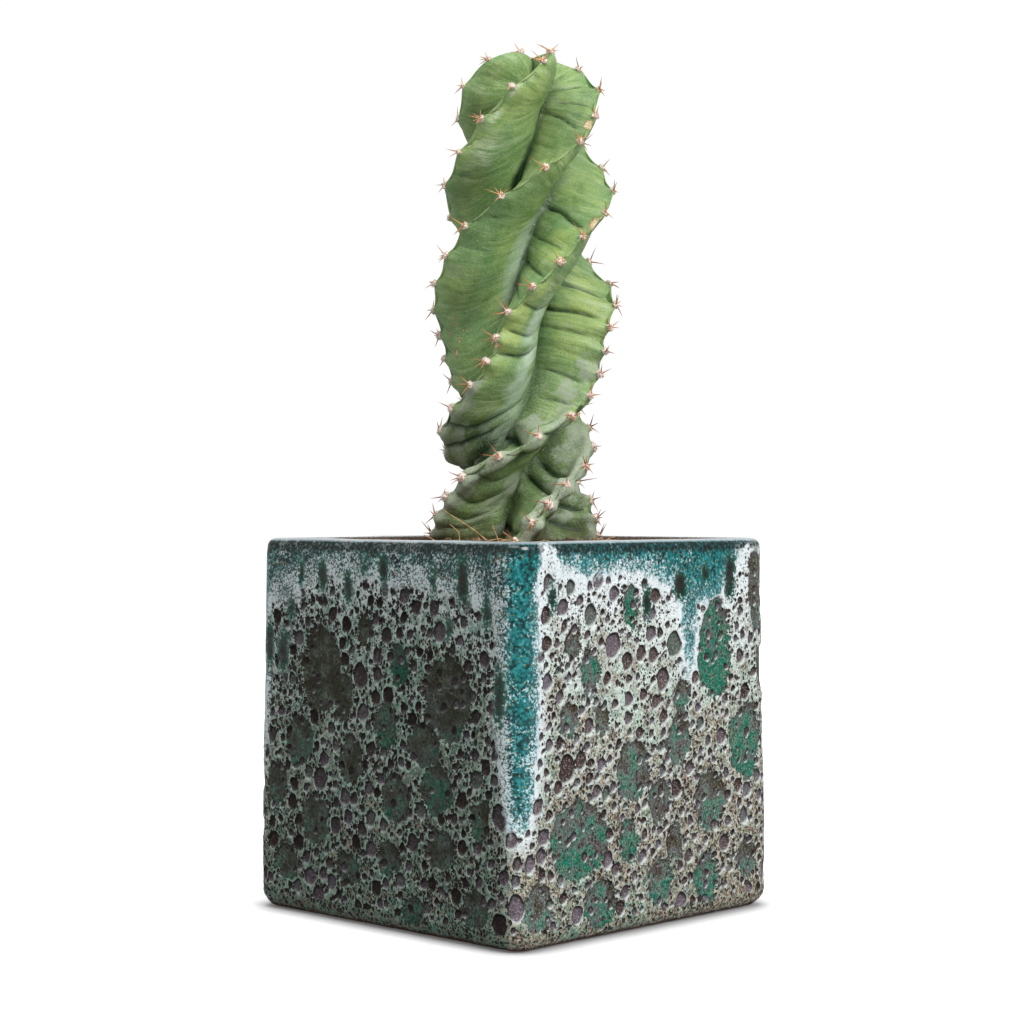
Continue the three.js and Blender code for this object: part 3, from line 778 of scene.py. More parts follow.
def seeded_pools(seed):
    """Pools for the two sides that the camera doesn't see, in the sizes of the other two."""
    random = np.random.default_rng(seed)
    pools = []
    for side in (2, 3):
        while sum(pool[0] == side for pool in pools) < SEEDED_POOLS:
            size = random.uniform(4.5, 14) if len(pools) % 3 else random.uniform(9, 14)
            spot = random.uniform(-58, 58), random.uniform(10, 112)
            if all(side != other[0] or math.dist(spot, other[1:3]) > size + other[3] + 1 for other in pools):
                pools.append((side, *spot, size, size * random.uniform(1.0, 1.35), random.random()))
    return pools


# Craters of each size on one side of the pot: how many are tried, least and most half width in millimetres
CRATERS = [(20, 3.0, 4.2), (230, 2.0, 2.9), (900, 1.3, 1.95), (1600, 0.8, 1.25)]


def glaze_edge(around, height):
    """Millimetres inside the glossy band and its tongues, negative below them."""
    glaze = height - (POT_HIGH[2] - curve_through(BAND)(around % (4 * SIDE)))
    for middle, half, lowest in TONGUES:
        drop = np.maximum(0, lowest + 1.8 * half - height) / 1.8
        here = half * mix(0.6, 1, smooth(height, lowest, lowest + 45))
        glaze = np.maximum(glaze, 1.3 * (here - np.hypot(around - middle, drop)))
    return glaze


def packed_craters(pools, seed):
    """Burst bubbles between the pools and below the band: place round the pot, height, half width, luck."""
    random = np.random.default_rng(seed)
    taken = np.array([(side * SIDE + SIDE / 2 + across, height, 0.45 * half_width + 0.36 * half_height, 0)
                      for side, across, height, half_width, half_height, _ in pools])
    whole = 4 * SIDE
    for count, least, most in CRATERS:
        for _ in range(4 * count):
            size = random.uniform(least, most)
            around, height = random.uniform(0, whole), random.uniform(4 + size, 128)
            beside = (taken[:, 0] - around + whole / 2) % whole - whole / 2
            apart = np.hypot(beside, 0.8 * (taken[:, 1] - height)) - taken[:, 2] - size
            clear = random.uniform(0.1, 0.55)
            inside = size < 1.7 and random.random() < 0.3 and apart[len(pools):].min(initial=9) > clear
            if (inside or apart.min() > clear) and glaze_edge(around, height) < -0.5 * size:
                taken = np.vstack([taken, (around, height, size, random.random())])
    return taken[len(pools):]


def nearest_crater(points, around, rows, craters):
    """Millimetres outside the nearest crater, how far towards its upper left each point is from -1 to 1, and
    its luck.
    """
    gap, sag, luck = np.full(points.shape[:2], 9.0), np.zeros(points.shape[:2]), np.zeros(points.shape[:2])
    whole = 4 * SIDE
    across = around[None, :] + 0.65 * bumps(points, 2.6, 31)
    level = points[..., 2] + 0.65 * bumps(points, 2.6, 32)
    heights = points[rows, 0, 2]
    for place, height, size, chosen in craters:
        beside = (around - place + whole / 2) % whole - whole / 2
        part = np.ix_(rows[np.abs(heights - height) < 1.25 * size + 2.5], np.abs(beside) < size + 2.5)
        right = ((across[part] - place + whole / 2) % whole - whole / 2) / size
        up = (level[part] - height) / (1.25 * size)
        here = (np.hypot(right, up) - 1) * size
        nearer = here < gap[part]
        gap[part] = np.where(nearer, here, gap[part])
        # The upper left of a crater gets painted shade, the lower right a painted highlight
        sag[part] = np.where(nearer, np.clip(up - 0.4 * right, -1, 1), sag[part])
        luck[part] = np.where(nearer, chosen, luck[part])
    return gap, sag, luck


class PotSettings(bpy.types.PropertyGroup):
    """Sizes and colours of the glazed pot."""

    crater_depth: length("Crater depth", "How deep the craters are", 0.8)
    lip: length("Lip", "How far a burst bubble's lip stands up", 0.25)
    coat: length("Coat", "How much thicker the glaze is in the glossy band", 0.35)
    seed: IntProperty(name="Seed", description="Places of the craters", default=5)
    teal: hue("Teal glaze", "The glossy glaze where it is thick", "#0a6263")
    froth: hue("Froth", "The pale bubbled glaze below the band", "#e2eaee")
    mint: hue("Mint froth", "The bubbled glaze lower down", "#b3c5b5")
    crater: hue("Crater floor", "The matt floor of a burst bubble", "#675d63")
    clay: hue("Clay", "The fired clay inside and at the foot", "#66503f")


# Patterns of small pits: spacing, and half width of the smallest and the largest, in millimetres
PITS = [(1.9, 0.05, 0.8), (0.95, 0.06, 0.4)]


def pits(tree, place, pattern, swell):
    """Millimetres outside the nearest small pit, negative inside it, and a random number for that pit."""
    spacing, least, most = PITS[pattern]
    where = {"Vector": place, "Scale": 1 / (spacing * MM), "Randomness": 0.9}
    cell = add(tree, CELLS, where, None)
    luck = add(tree, STEP, [cell.outputs["Color"], 0.2, 0.8])
    radius = add(tree, TIMES, [add(tree, STEP, [luck, 0.0, 1.0, least, most]), swell])
    far = add(tree, TIMES, [cell.outputs["Distance"], spacing])
    far = add(tree, MINUS, [far, radius])
    # A thin wall of glaze stays between two pits
    wall = add(tree, CELLS, where, feature="DISTANCE_TO_EDGE")
    wall = add(tree, TIMES_PLUS, [wall, -spacing, 0.08 * spacing])
    return add(tree, MOST, [far, wall]), luck


def crater_tree():
    """A geometry node tree that sinks craters into the wall and raises their lips."""
    tree, given, result = new_group("glaze_craters", [
        ("Crater Depth", "Float", 0.8 * MM), ("Lip", "Float", 0.25 * MM), ("Coat", "Float", 0.35 * MM)])
    kept = add(tree, STORE, {
        "Geometry": given["Geometry"], "Name": "rest_place", "Value": add(tree, POSITION)},
        data_type="FLOAT_VECTOR")
    glaze, crater, pool, window, open_wall = (
        add(tree, STORED, {"Name": name})
        for name in ("glaze", "crater", "pool", "window", "open_wall"))
    sunk = add(tree, STEP, [crater, 0.2, -1.5])
    for field, inside, share in ((pool, -1.6, 0.9), (window, -1.0, 0.4)):
        sunk = add(tree, MOST, [sunk, add(tree, STEP, [field, 0.5, inside, 0.0, share])])
    near = add(tree, LEAST, [crater, pool])
    near = add(tree, SIZE_OF, [add(tree, MINUS, [near, 0.6])])
    rise = add(tree, TIMES, [add(tree, STEP, [near, 0.8, 0.0]), given["Lip"]])
    down = add(tree, TIMES, [sunk, given["Crater Depth"]])
    rise = add(tree, MINUS, [rise, down])
    # The glossy band is a thick coat that ends in a rounded edge
    rise = add(tree, TIMES_PLUS, [add(tree, STEP, [glaze, -1.5, 1.5]), given["Coat"], rise])
    rise = add(tree, TIMES, [rise, open_wall])
    offset = add(tree, VECTORS, {0: add(tree, "GeometryNodeInputNormal"), "Scale": rise}, operation="SCALE")
    done = add(tree, SET_POSITION, {"Geometry": kept, "Offset": offset})
    tree.links.new(done, result["Geometry"])
    return tree


def cratered_glaze(colours):
    """Bubbled stoneware glaze: glossy teal where it is thick, froth round burst bubbles, matt clay below."""
    material, tree, shader = new_material("cratered_stoneware_glaze")
    place = add(tree, ATTRIBUTE, out="Vector", attribute_name="rest_place")
    glaze, crater, sag, luck, pool, tone, window, grey, bare, dense = (
        add(tree, ATTRIBUTE, out="Fac", attribute_name=name)
        for name in (
            "glaze", "crater", "sag", "luck", "pool", "tone", "window", "grey", "bare_clay", "dense"))
    height = add(tree, SEPARATE, [place], 2)
    wide, middle, mottle, grain, fine = (
        add(tree, NOISE, {"Vector": place, "Scale": 1 / (size * MM), "Detail": detail})
        for size, detail in ((24, 1.0), (6.5, 2.0), (2.6, 3.0), (1.2, 2.0), (0.65, 1.0)))
    # Bubbles stretch as the glaze runs, so small pits are a little taller than wide, and not quite round
    shake = add(tree, NOISE, {"Vector": place, "Scale": 1 / (2.5 * MM), "Detail": 0.0}, 1)
    moved = add(tree, VECTORS, [shake, (0.4 * MM,) * 3, place], operation="MULTIPLY_ADD")
    moved = add(tree, VECTORS, [moved, (1.1, 1.1, 0.86)], operation="MULTIPLY")
    small, _ = pits(tree, moved, 0, dense)
    pin, pin_luck = pits(tree, moved, 1, dense)
    in_small, in_pin = (add(tree, STEP, [gap, 0.1, -0.08]) for gap in (small, pin))

    # Froth: white under the band, mint and then drab lower down, and sandy where it is thin
    level = add(tree, TIMES_PLUS, [wide, 0.5, add(tree, STEP, [height, 0.0, 0.141, -0.12, 1.0])])
    froth = add(tree, RAMP, [level], stops=[
        (0.15, "#877669"), (0.35, "#a79e90"), (0.6, colours.mint), (0.85, "#c6d6cc"), (1.0, colours.froth)])
    sand = add(tree, CELLS, {"Vector": place, "Scale": 1 / (0.85 * MM)}, "Color")
    sand = add(tree, RAMP, [sand], stops=[
        (0.25, "#35261e"), (0.4, "#634a3f"), (0.52, "#957b6a"), (0.67, "#b5ac98"), (0.82, "#829484")])
    thin = add(tree, STEP, [add(tree, TIMES_PLUS, [middle, -1.6, level]), 0.2, -0.16])
    # Painted shade on the greyer side: its froth is darkened towards dark browns, greens and teals
    shaded = add(tree, TIMES, [grey, add(tree, STEP, [glaze, -26.0, -4.0, 0.44, 0.26])])
    dusk = add(tree, RAMP, [middle], stops=[
        (0.34, "#43352a"), (0.44, "#1f4532"), (0.54, "#355a4b"), (0.66, "#1a6052")])
    rim = add(tree, STEP, [add(tree, LEAST, [crater, pool]), 0.8, 0.1, 0.0, 0.5])
    bright = add(tree, STEP, [level, 0.15, 0.6, 0.4, 1.0])
    rim = add(tree, TIMES, [rim, bright])

    # Craters: matt floors, with painted shade along the upper inner edge and a painted highlight on the lower
    # lip
    crater_floor = add(tree, RAMP, [luck], stops=[
        (0.0, "#372a25"), (0.25, "#54443f"), (0.5, colours.crater), (0.8, "#716873"), (1.0, "#566459")])
    crater_floor = paint(tree, crater_floor, [
        ([grain, 0.5, 0.62, 0.0, 0.6], "#3d3030"),
        ([fine, 0.54, 0.68, 0.0, 0.55], "#aaa2a8"),
        ([crater, -1.3, -0.1], [sag, -0.45, 0.4, 0.2, 0.9], "#17100d"),
        ([crater, -0.9, -0.2], [sag, -0.3, -0.8, 0.0, 0.85], "#c9d3cf"),
        # Painted shade: crater floors darker on the greyer side
        (grey, [luck, 0.0, 1.0, 0.95, 0.45], "#17110e"),
    ])

    # Pools: thin brown glaze above, thicker green glaze below, with specks in it
    shallow = shifted(tree, tone, middle, 0.45)
    shallow = shifted(tree, shallow, mottle, 0.22)
    pool_floor = add(tree, RAMP, [shallow], stops=[
        (0.0, "#43322a"), (0.25, "#4d4840"), (0.5, "#625b5f"), (0.75, "#517068"), (0.98, "#136a57")])
    ragged = shifted(tree, pool, mottle, 1.2)
    ragged = shifted(tree, ragged, grain, 0.4)
    calm = add(tree, STEP, [grey, 0.0, 1.0, 1.0, 0.35])
    pool_floor = paint(tree, pool_floor, [
        ([grain, 0.5, 0.6, 0.0, 0.35], "#2f261d"),
        ([fine, 0.54, 0.7, 0.0, 0.5], calm, "#8fae97"),
        # Painted shade: pools darker on the greyer side
        (grey, 0.58, "#0e2a1c"),
        ([small, 0.5, 0.15], [middle, 0.42, 0.6, 0.0, 0.45], calm, "#93a58f"),
        (in_small, 0.7, calm, "#2c211a"),
        (in_pin, 0.7, "#2a1d16"),
        ([ragged, -1.6, -0.2, 0.0, 0.5], "#241d18"),
    ])
    in_crater = add(tree, STEP, [crater, 0.08, -0.12])
    in_pool = add(tree, STEP, [ragged, 0.5, -0.5])

    # Band: teal with white specks that crowd together towards its lower edge
    crowd = shifted(tree, add(tree, STEP, [glaze, -1.0, 10.0, 0.13, -0.08]), middle, 0.09)
    crowd = add(tree, PLUS, [crowd, add(tree, STEP, [grey, 0.0, 1.0, -0.015, 0.07])])
    specks = add(tree, TIMES_PLUS, [fine, 0.55, add(tree, TIMES_PLUS, [grain, 0.45, crowd])])
    grained = add(tree, TIMES_PLUS, [grain, 0.6, add(tree, TIMES, [mottle, 0.4])])
    # The teal, its specks and its wash each have a lit copy and a darker, greyer copy that is painted shade
    # on the greyer side
    lit, dull = (
        add(tree, RAMP, [grained], stops=[(0.4, dark), (0.5, body), (0.6, light)])
        for dark, body, light in (("#03282a", colours.teal, "#258589"), ("#081b1d", "#1f4543", "#4d7975")))
    coat, pale, wash = (
        paint(tree, first, [(grey, second)])
        for first, second in ((lit, dull), ("#cfdfe3", "#b9c4c6"), ("#7fb4b6", "#5f7d7c")))
    pane = add(tree, STEP, [shifted(tree, window, grain, 1.2), 1.1, -0.1])
    pane_colour = add(tree, RAMP, [add(tree, TIMES_PLUS, [window, 0.25, grain])], stops=[
        (0.0, "#15120e"), (0.22, "#10271e"), (0.4, "#0f4639"), (0.56, "#2b5a4c")])
    # A few specks are golden, fewer on the grey side
    golden = add(tree, TIMES_PLUS, [grey, -0.03, pin_luck])
    coat = paint(tree, coat, [
        ([glaze, 9.0, 0.0, 0.0, 0.2], wash),
        ([specks, 0.51, 0.66], pale),
        (in_pin, 0.75, "#0c2120"),
        ([golden, 0.96, 0.985], in_pin, "#a3964f"),
        (pane, pane_colour),
        # Painted shade as a dark line under the rolled lip, and a painted grey-blue reflection along the
        # lip's top
        ([height, 0.1352, 0.1372], [height, 0.1402, 0.1394], [grain, 0.35, 0.6, 1.0, 0.7], "#101c1a"),
        ([height, 0.1396, 0.1404, 0.0, 0.85], "#a3adb3"),
    ])
    in_glaze = add(tree, STEP, [shifted(tree, glaze, mottle, 2.0), -1.0, 1.0])
    in_glaze = add(tree, MOST, [in_glaze, pane])

    bare_edge = shifted(tree, bare, grain, 0.3)
    clay = add(tree, RAMP, [grain], stops=[(0.38, colours.clay), (0.55, "#3a2c22")])
    clay = paint(tree, clay, [([fine, 0.58, 0.68, 0.0, 0.6], "#b06a44")])
    colour = paint(tree, froth, [
        (thin, sand),
        ([wide, 0.5, 0.68, 0.0, 0.65], [mottle, 0.42, 0.6], "#4c9484"),
        # Painted shade darkens the froth on the greyer side, here and again after the pale lips
        (shaded, dusk),
        ([grain, 0.54, 0.66, 0.0, 0.5], "#a9b78d"),
        ([fine, 0.46, 0.34, 0.0, 0.55], "#5c6152"),
        ([fine, 0.54, 0.68, 0.0, 0.5], bright, "#eef3f0"),
        ([glaze, -8.0, -1.0, 0.0, 0.9], [grey, 0.0, 1.0, 1.0, 0.32], colours.froth),
        (rim, "#dde6e0"),
        (shaded, dusk),
        (grey, [mottle, 0.5, 0.62, 0.0, 0.6], "#265a4e"),
        (rim, grey, "#8ba79b"),
        (in_pin, "#231a16"),
        # Painted shade: small pits are darkest at their edges and lighter in the middle
        (in_small, add(tree, RAMP, [add(tree, STEP, [small, -0.15, -0.7])], stops=[
            (0.0, "#19110e"), (1.0, "#5b5052")])),
        # Painted shade: small pits darker on the greyer side
        (in_small, grey, 0.65, "#120d0b"),
        (in_pool, pool_floor),
        (in_crater, crater_floor),
        (in_glaze, coat),
        ([bare_edge, 0.35, 0.65], clay),
    ])

    rough = 0.38
    for share, value in ((in_crater, 0.5), (in_pool, 0.4), (in_glaze, 0.14), (bare, 0.85)):
        rough = add(tree, BLEND_VALUES, {0: share, 2: rough, 3: value})
    # The hollows are dull: little light finds its way out of them
    hollow = in_pin
    for other in (in_small, in_crater, in_pool):
        hollow = add(tree, MOST, [other, hollow])
    hollow = add(tree, MINUS, [hollow, in_glaze])
    gloss = add(tree, STEP, [hollow, 0.0, 1.0, 0.5, 0.12])
    relief = add(tree, TIMES, [grain, 0.4])
    for gap, edge, inside, depth in (
            (crater, 0.1, -0.8, -0.7), (ragged, 0.3, -1.0, -0.4), (small, 0.1, -0.4, -0.4),
            (pin, 0.05, -0.2, -0.2), (crater, 0.9, 0.2, 0.15)):
        relief = add(tree, PLUS, [add(tree, STEP, [gap, edge, inside, 0.0, depth]), relief])
    relief = add(tree, TIMES, [relief, add(tree, STEP, [in_glaze, 0, 1, 1.0, 0.16])])
    bump = add(tree, BUMP, {"Strength": 0.9, "Distance": MM, "Height": relief})
    connect(tree, shader, {
        "Base Color": colour, "Roughness": rough, "Specular IOR Level": gloss, "Normal": bump, "IOR": 1.52})
    return material


class CEREUS_OT_pot(bpy.types.Operator):
    """Make the cube pot with its cratered glaze"""

    bl_idname = "cereus.pot"
    bl_label = "Pot"

    def execute(self, context):
        settings = context.scene.cereus_pot
        straight, corner, around = wall_columns()
        bare = pot_points(straight, corner)
        height = bare[..., 2]
        inset = np.array([row[0] for row in pot_rows()])[:, None] + 0 * height
        outside = inset < RIM_ROUND + 0.1
        wave = 0.4 * bumps(bare, 38, 11) + 0.15 * bumps(bare, 9, 12)
        chips = smooth(bumps(bare, 6, 13), 0.15, 0.7) * smooth(height, 7, 3) * smooth(height, 0, 1.2)
        open_wall = np.where(outside, smooth(height, 1.5, 6) * smooth(height, 138, 133), 0)
        relief = wave * np.where(outside, smooth(height, 0, 8), 0.0) - 0.5 * chips
        points = bare + facing(bare) * relief[..., None]
        points[..., 2] = np.maximum(points[..., 2], 0)
        pools = POOLS + seeded_pools(settings.seed)
        pool, which = nearest_oval(points, [one[:5] for one in pools])
        pool = pool + 1.1 * bumps(points, 5, 14) + 0.6 * bumps(points, 2.6, 15)
        _, _, middle, _, half_height, pool_tone = np.array(pools).T[:, which]
        tone = pool_tone - 0.25 * np.clip((height - middle) / half_height, -1, 1)
        window = nearest_oval(points, WINDOWS)[0] + 0.4 * bumps(points, 2.5, 16)
        wall_rows = np.flatnonzero((inset[:, 0] < 0.1) & (height[:, 0] > 3) & (height[:, 0] < 136))
        crater, sag, luck = nearest_crater(points, around, wall_rows, packed_craters(pools, settings.seed))
        shift = 2.0 * bumps(points, 8, 17)
        glaze = glaze_edge(around[None, :] + 1.2 * bumps(points, 9, 18), height + shift)
        glaze = np.where(outside, glaze, np.where(height > 139, 6, -20))
        bare_clay = np.where(outside, smooth(height, 2.8, 0.3), smooth(height, 140.8, 140.1))
        bare_clay = np.where(height < 0.01, 1, bare_clay)
        # The -Y side and part of the -X side are greyer and get painted shade, as they are turned from the
        # key lamp
        grey = smooth(around, 142, 131) + 0.5 * smooth(around, 418, 434)
        grey = smooth(grey[None, :] + 0.15 * bumps(points, 14, 19), 0, 1)
        dense = 1.02 + 0.2 * bumps(points, 20, 20) + 0.14 * bumps(points, 9, 21) + 0.3 * grey
        dense *= mix(0.6, 1, smooth(glaze, mix(0, 7, grey), mix(-9, -3, grey)))
        rows, columns = height.shape
        count = rows * columns
        ends = np.array([[0, 0, 0.0], [0, 0, INSIDE_FLOOR]])
        fields = {
            "glaze": glaze, "crater": crater, "sag": sag, "luck": luck, "pool": pool, "tone": tone,
            "window": window, "open_wall": open_wall, "bare_clay": bare_clay, "grey": grey, "dense": dense}
        fields = {key: np.append(values.ravel(), [values[0, 0], values[-1, 0]])
                  for key, values in fields.items()}
        faces = ring_faces(rows, columns, count, count + 1)
        base = new_piece("pot_base", np.concatenate([points.reshape(-1, 3), ends]), faces, fields)
        material = cratered_glaze(settings)
        values = {"Crater Depth": settings.crater_depth, "Lip": settings.lip, "Coat": settings.coat}
        seat(grow("glazed_pot", base, crater_tree(), values, material), material, "pot_glaze", "pot")
        return {"FINISHED"}


def areoles():
    """The places of the areoles on the crests: rib, number, place, outward way and share of the height."""
    spots = []
    for rib in range(RIBS):
        for number in range(math.ceil(number_at(SHOULDER + DOME_LENGTH) - 0.85)):
            level = height_of(number + RIB_PHASE[rib])
            place, out = skin_at(level, float(rib))
            from_axis = place - axis_point(place[2])
            out = out + from_axis / np.linalg.norm(from_axis)
            out /= np.linalg.norm(out)
            share = smooth(place[2], SEAT, SHOULDER + 15)
            spots.append((rib, number, place + 0.35 * out, out, share))
    return spots


class AreoleSettings(bpy.types.PropertyGroup):
    """Woolly pads along the crests."""

    low_radius: length("Low radius", "Half width of the pads at the foot", 1.6)
    high_radius: length("High radius", "Half width of the pads at the top", 1.2)
    fibre: length("Fibre", "Length of one woolly fibre", 0.8)
    thickness: length("Thickness", "Half width of one woolly fibre", 0.07)
    fibres: FloatProperty(name="Fibres", description="Fibres on a square millimetre", default=9, min=0)
    seed: IntProperty(name="Seed", description="Places of the fibres", default=3)
    wool: hue("Wool", "Felted hairs of the areoles", "#f8e7da")
    dark: hue("Dark wool", "Old, soiled hairs", "#a9745f")


def wool_tree(material):
    """A geometry node tree that sets a felted pad with short fibres on each point."""
    tree, given, result = new_group("areole_wool", [
        ("Fibre", "Float", 0.8 * MM), ("Thickness", "Float", 0.07 * MM), ("Fibres", "Float", 9e6),
        ("Seed", "Int", 3)])
    way, size = (add(tree, STORED, {"Name": name}, data_type=kind)
                 for name, kind in (("way", "FLOAT_VECTOR"), ("size", "FLOAT")))
    ball = add(tree, BALL, {"Radius": 1.0, "Subdivisions": 3})
    flat = add(tree, TIMES, [size, 0.72])
    scale = add(tree, COMBINE, [size, size, flat])
    facing_out = add(tree, ALIGN, {"Vector": way}, axis="Z")
    pads = add(tree, INSTANCES, {
        "Points": given["Geometry"], "Instance": ball, "Rotation": facing_out, "Scale": scale})
    pads = add(tree, REALIZE, [pads])
    lumps = add(tree, NOISE, {"Scale": 1 / (1.1 * MM), "Detail": 2.0})
    lumps = add(tree, STEP, [lumps, 0.3, 0.7, -0.5 * MM, 0.45 * MM])
    normal = add(tree, "GeometryNodeInputNormal")
    offset = add(tree, VECTORS, {0: normal, "Scale": lumps}, operation="SCALE")
    pads = add(tree, SET_POSITION, {"Geometry": pads, "Offset": offset})
    spread = add(tree, SPREAD, {"Mesh": pads, "Density": given["Fibres"], "Seed": given["Seed"]}, out=None)
    hair = add(tree, CONE, {
        "Vertices": 3, "Radius Top": 0.0, "Radius Bottom": given["Thickness"], "Depth": given["Fibre"]},
        fill_type="NONE")
    tilt = add(tree, RANDOM, {"Min": (-1.1,) * 3, "Max": (1.1,) * 3}, data_type="FLOAT_VECTOR")
    turn = add(tree, "FunctionNodeRotateRotation", [spread.outputs["Rotation"], tilt], rotation_space="LOCAL")
    long = add(tree, RANDOM, {2: 0.5, 3: 1.3}, out=1, data_type="FLOAT")
    hairs = add(tree, INSTANCES, {
        "Points": spread.outputs[0], "Instance": hair, "Rotation": turn, "Scale": long})
    hairs = add(tree, REALIZE, [hairs])
    joined = add(tree, "GeometryNodeJoinGeometry", out=None)
    tree.links.new(pads, joined.inputs[0])
    tree.links.new(hairs, joined.inputs[0])
    smooth_faces = add(tree, SHADE_SMOOTH, [joined.outputs[0]])
    return end_group(tree, result, smooth_faces, material)


def felted_wool(colours):
    """Felted plant hairs: pinkish off-white, with soil and dark hairs caught in them."""
    material, tree, shader = new_material("felted_areole_wool")
    place = add(tree, COORDINATES, out="Object")
    speck = add(tree, NOISE, {"Vector": place, "Scale": 1 / (0.55 * MM), "Detail": 3.0})
    colour = paint(tree, colours.wool, [([speck, 0.52, 0.62, 0.0, 0.85], colours.dark)])
    connect(tree, shader, {"Base Color": colour, "Roughness": 0.95, "Sheen Weight": 0.25})
    return material


class CEREUS_OT_areoles(bpy.types.Operator):
    """Make the woolly pads on the crests"""

    bl_idname = "cereus.areoles"
    bl_label = "Areoles"

    def execute(self, context):
        settings = context.scene.cereus_areoles
        spots = areoles()
        random = np.random.default_rng(settings.seed)
        places = np.array([place for _, _, place, _, _ in spots])
        ways = np.array([out for *_, out, _ in spots])
        shares = np.array([share for *_, share in spots])
        sizes = mix(settings.low_radius, settings.high_radius, shares)
        sizes = sizes * random.uniform(0.85, 1.15, len(spots))
        base = new_piece("areole_spots", places, [], {"way": ways, "size": sizes})
        material = felted_wool(settings)
        values = {"Fibre": settings.fibre, "Thickness": settings.thickness, "Fibres": settings.fibres * 1e6,
                  "Seed": settings.seed}
        seat(grow("areole_wool", base, wool_tree(material), values, material), material, "cactus_skin")
        return {"FINISHED"}


class SpineSettings(bpy.types.PropertyGroup):
    """Spines of the areoles."""

    shortest: length("Shortest", "Shortest spine", 2.2)
    longest: length("Longest", "Longest spine", 9.8)
    thickness: length("Thickness", "Half width of a spine at its foot", 0.3)
    seed: IntProperty(name="Seed", description="Ways and lengths of the spines", default=4)
    young: hue("Young spine", "Spines near the top", "#d6a26a")
    old: hue("Old spine", "Spines near the foot", "#a96c4b")
    tip: hue("Tip", "The sharp end", "#8a5238")


def spine_tree(material):
    """A geometry node tree that sets a slender bent cone on each point."""
    tree, given, result = new_group("spines", [("Thickness", "Float", 0.34 * MM), ("Curve", "Float", 1.2)])
    way, size = (add(tree, STORED, {"Name": name}, data_type=kind)
                 for name, kind in (("way", "FLOAT_VECTOR"), ("size", "FLOAT")))
    cone = add(tree, CONE, {
        "Vertices": 6, "Side Segments": 5, "Radius Top": 0.0, "Radius Bottom": 1.0, "Depth": 1.0})
    x, y, z = (add(tree, SEPARATE, [add(tree, POSITION)], out=i) for i in range(3))
    fuller = add(tree, TIMES, [z, 0.5])
    bend = add(tree, TIMES, [z, z])
    bend = add(tree, TIMES, [bend, given["Curve"]])
    shift_x = add(tree, TIMES_PLUS, [x, fuller, bend])
    shift_y = add(tree, TIMES, [y, fuller])
    offset = add(tree, COMBINE, [shift_x, shift_y, 0.0])
    kept = add(tree, STORE, {"Geometry": cone, "Name": "along", "Value": z})
    cone = add(tree, SET_POSITION, {"Geometry": kept, "Offset": offset})
    scale = add(tree, COMBINE, [given["Thickness"], given["Thickness"], size])
    turn = add(tree, ALIGN, {"Vector": way}, axis="Z")
    spines = add(tree, INSTANCES, {
        "Points": given["Geometry"], "Instance": cone, "Rotation": turn, "Scale": scale})
    spines = add(tree, REALIZE, [spines])
    spines = add(tree, SHADE_SMOOTH, [spines])
    return end_group(tree, result, spines, material)


def horny_spine(colours):
    """Horny spines: orange-brown and a little translucent when young, red-brown when old, with a dark tip."""
    material, tree, shader = new_material("horny_spine")
    along, tone = (add(tree, ATTRIBUTE, out="Fac", attribute_name=name) for name in ("along", "tone"))
    colour = paint(tree, colours.old, [(tone, colours.young), ([along, 0.5, 1.0, 0.0, 0.8], colours.tip)])
    connect(tree, shader, {
        "Base Color": colour, "Roughness": 0.38, "Subsurface Weight": 0.1, "Subsurface Scale": 0.4 * MM})
    return material


class CEREUS_OT_spines(bpy.types.Operator):
    """Make the spines that fan out of the areoles"""

    bl_idname = "cereus.spines"
    bl_label = "Spines"

    # Degrees from the way against the ribs' turn, up positive; share of the full length; how often it grows
    FAN = [
        (-35, 0.95, 0.7), (6, 1.0, 0.85), (48, 0.5, 0.55), (84, 0.6, 0.7), (165, 0.25, 0.45),
        (-85, 0.35, 0.45), (215, 0.45, 0.3)]

    def execute(self, context):
        settings = context.scene.cereus_spines
        random = np.random.default_rng(settings.seed)
        places, ways, sizes, tones = [], [], [], []
        for _, _, place, out, share in areoles():
            against = np.cross(out, (0, 0, 1))
            against /= np.linalg.norm(against)
            up = np.cross(against, -out)
            for angle, part, often in self.FAN:
                if random.random() > often:
                    continue
                angle = math.radians(angle + random.uniform(-16, 16))
                tilt = math.radians(random.uniform(48, 80))
                across = math.cos(angle) * against + math.sin(angle) * up
                way = math.cos(tilt) * out + math.sin(tilt) * across
                longest = settings.longest * mix(1.0, 0.82, share)
                size = mix(settings.shortest, longest, part * random.uniform(0.45, 1.0))
                if place[2] + way[2] * size / MM < SOIL_HIGH + 2:
                    way[2] = abs(way[2])
                places.append(place + 0.5 * out)
                ways.append(way)
                sizes.append(size)
                tones.append(np.clip(share + random.uniform(-0.25, 0.25), 0, 1))
        fields = {"way": np.array(ways), "size": np.array(sizes), "tone": np.array(tones)}
        base = new_piece("spine_spots", np.array(places), [], fields)
        material = horny_spine(settings)
        values = {"Thickness": settings.thickness}
        seat(grow("spines", base, spine_tree(material), values, material), material, "cactus_skin")
        return {"FINISHED"}


# Soil: a bed that is heaped round the stem, with loose grains and dry straws on it

SOIL_HALF = 61.1
SOIL_LOW = INSIDE_FLOOR + 0.3
SOIL_EDGE = 134
# Rings of the bed below its top
SIDE_RINGS = 6


class SoilSettings(bpy.types.PropertyGroup):
    """The bed of potting soil and its grains."""

    heap: length("Heap", "How far the soil is heaped up round the stem", 4.0)
    smallest: length("Smallest grain", "Half width of the smallest grain", 0.4)
    largest: length("Largest grain", "Half width of the largest grain", 1.5)
    grains: FloatProperty(name="Grains", description="Grains on a square centimetre", default=45, min=0)
    seed: IntProperty(name="Seed", description="Places of the grains", default=6)
    dark: hue("Moist soil", "Moist peat", "#33241a")
    light: hue("Dry soil", "Dry crumbs and bark", "#7d5f47")


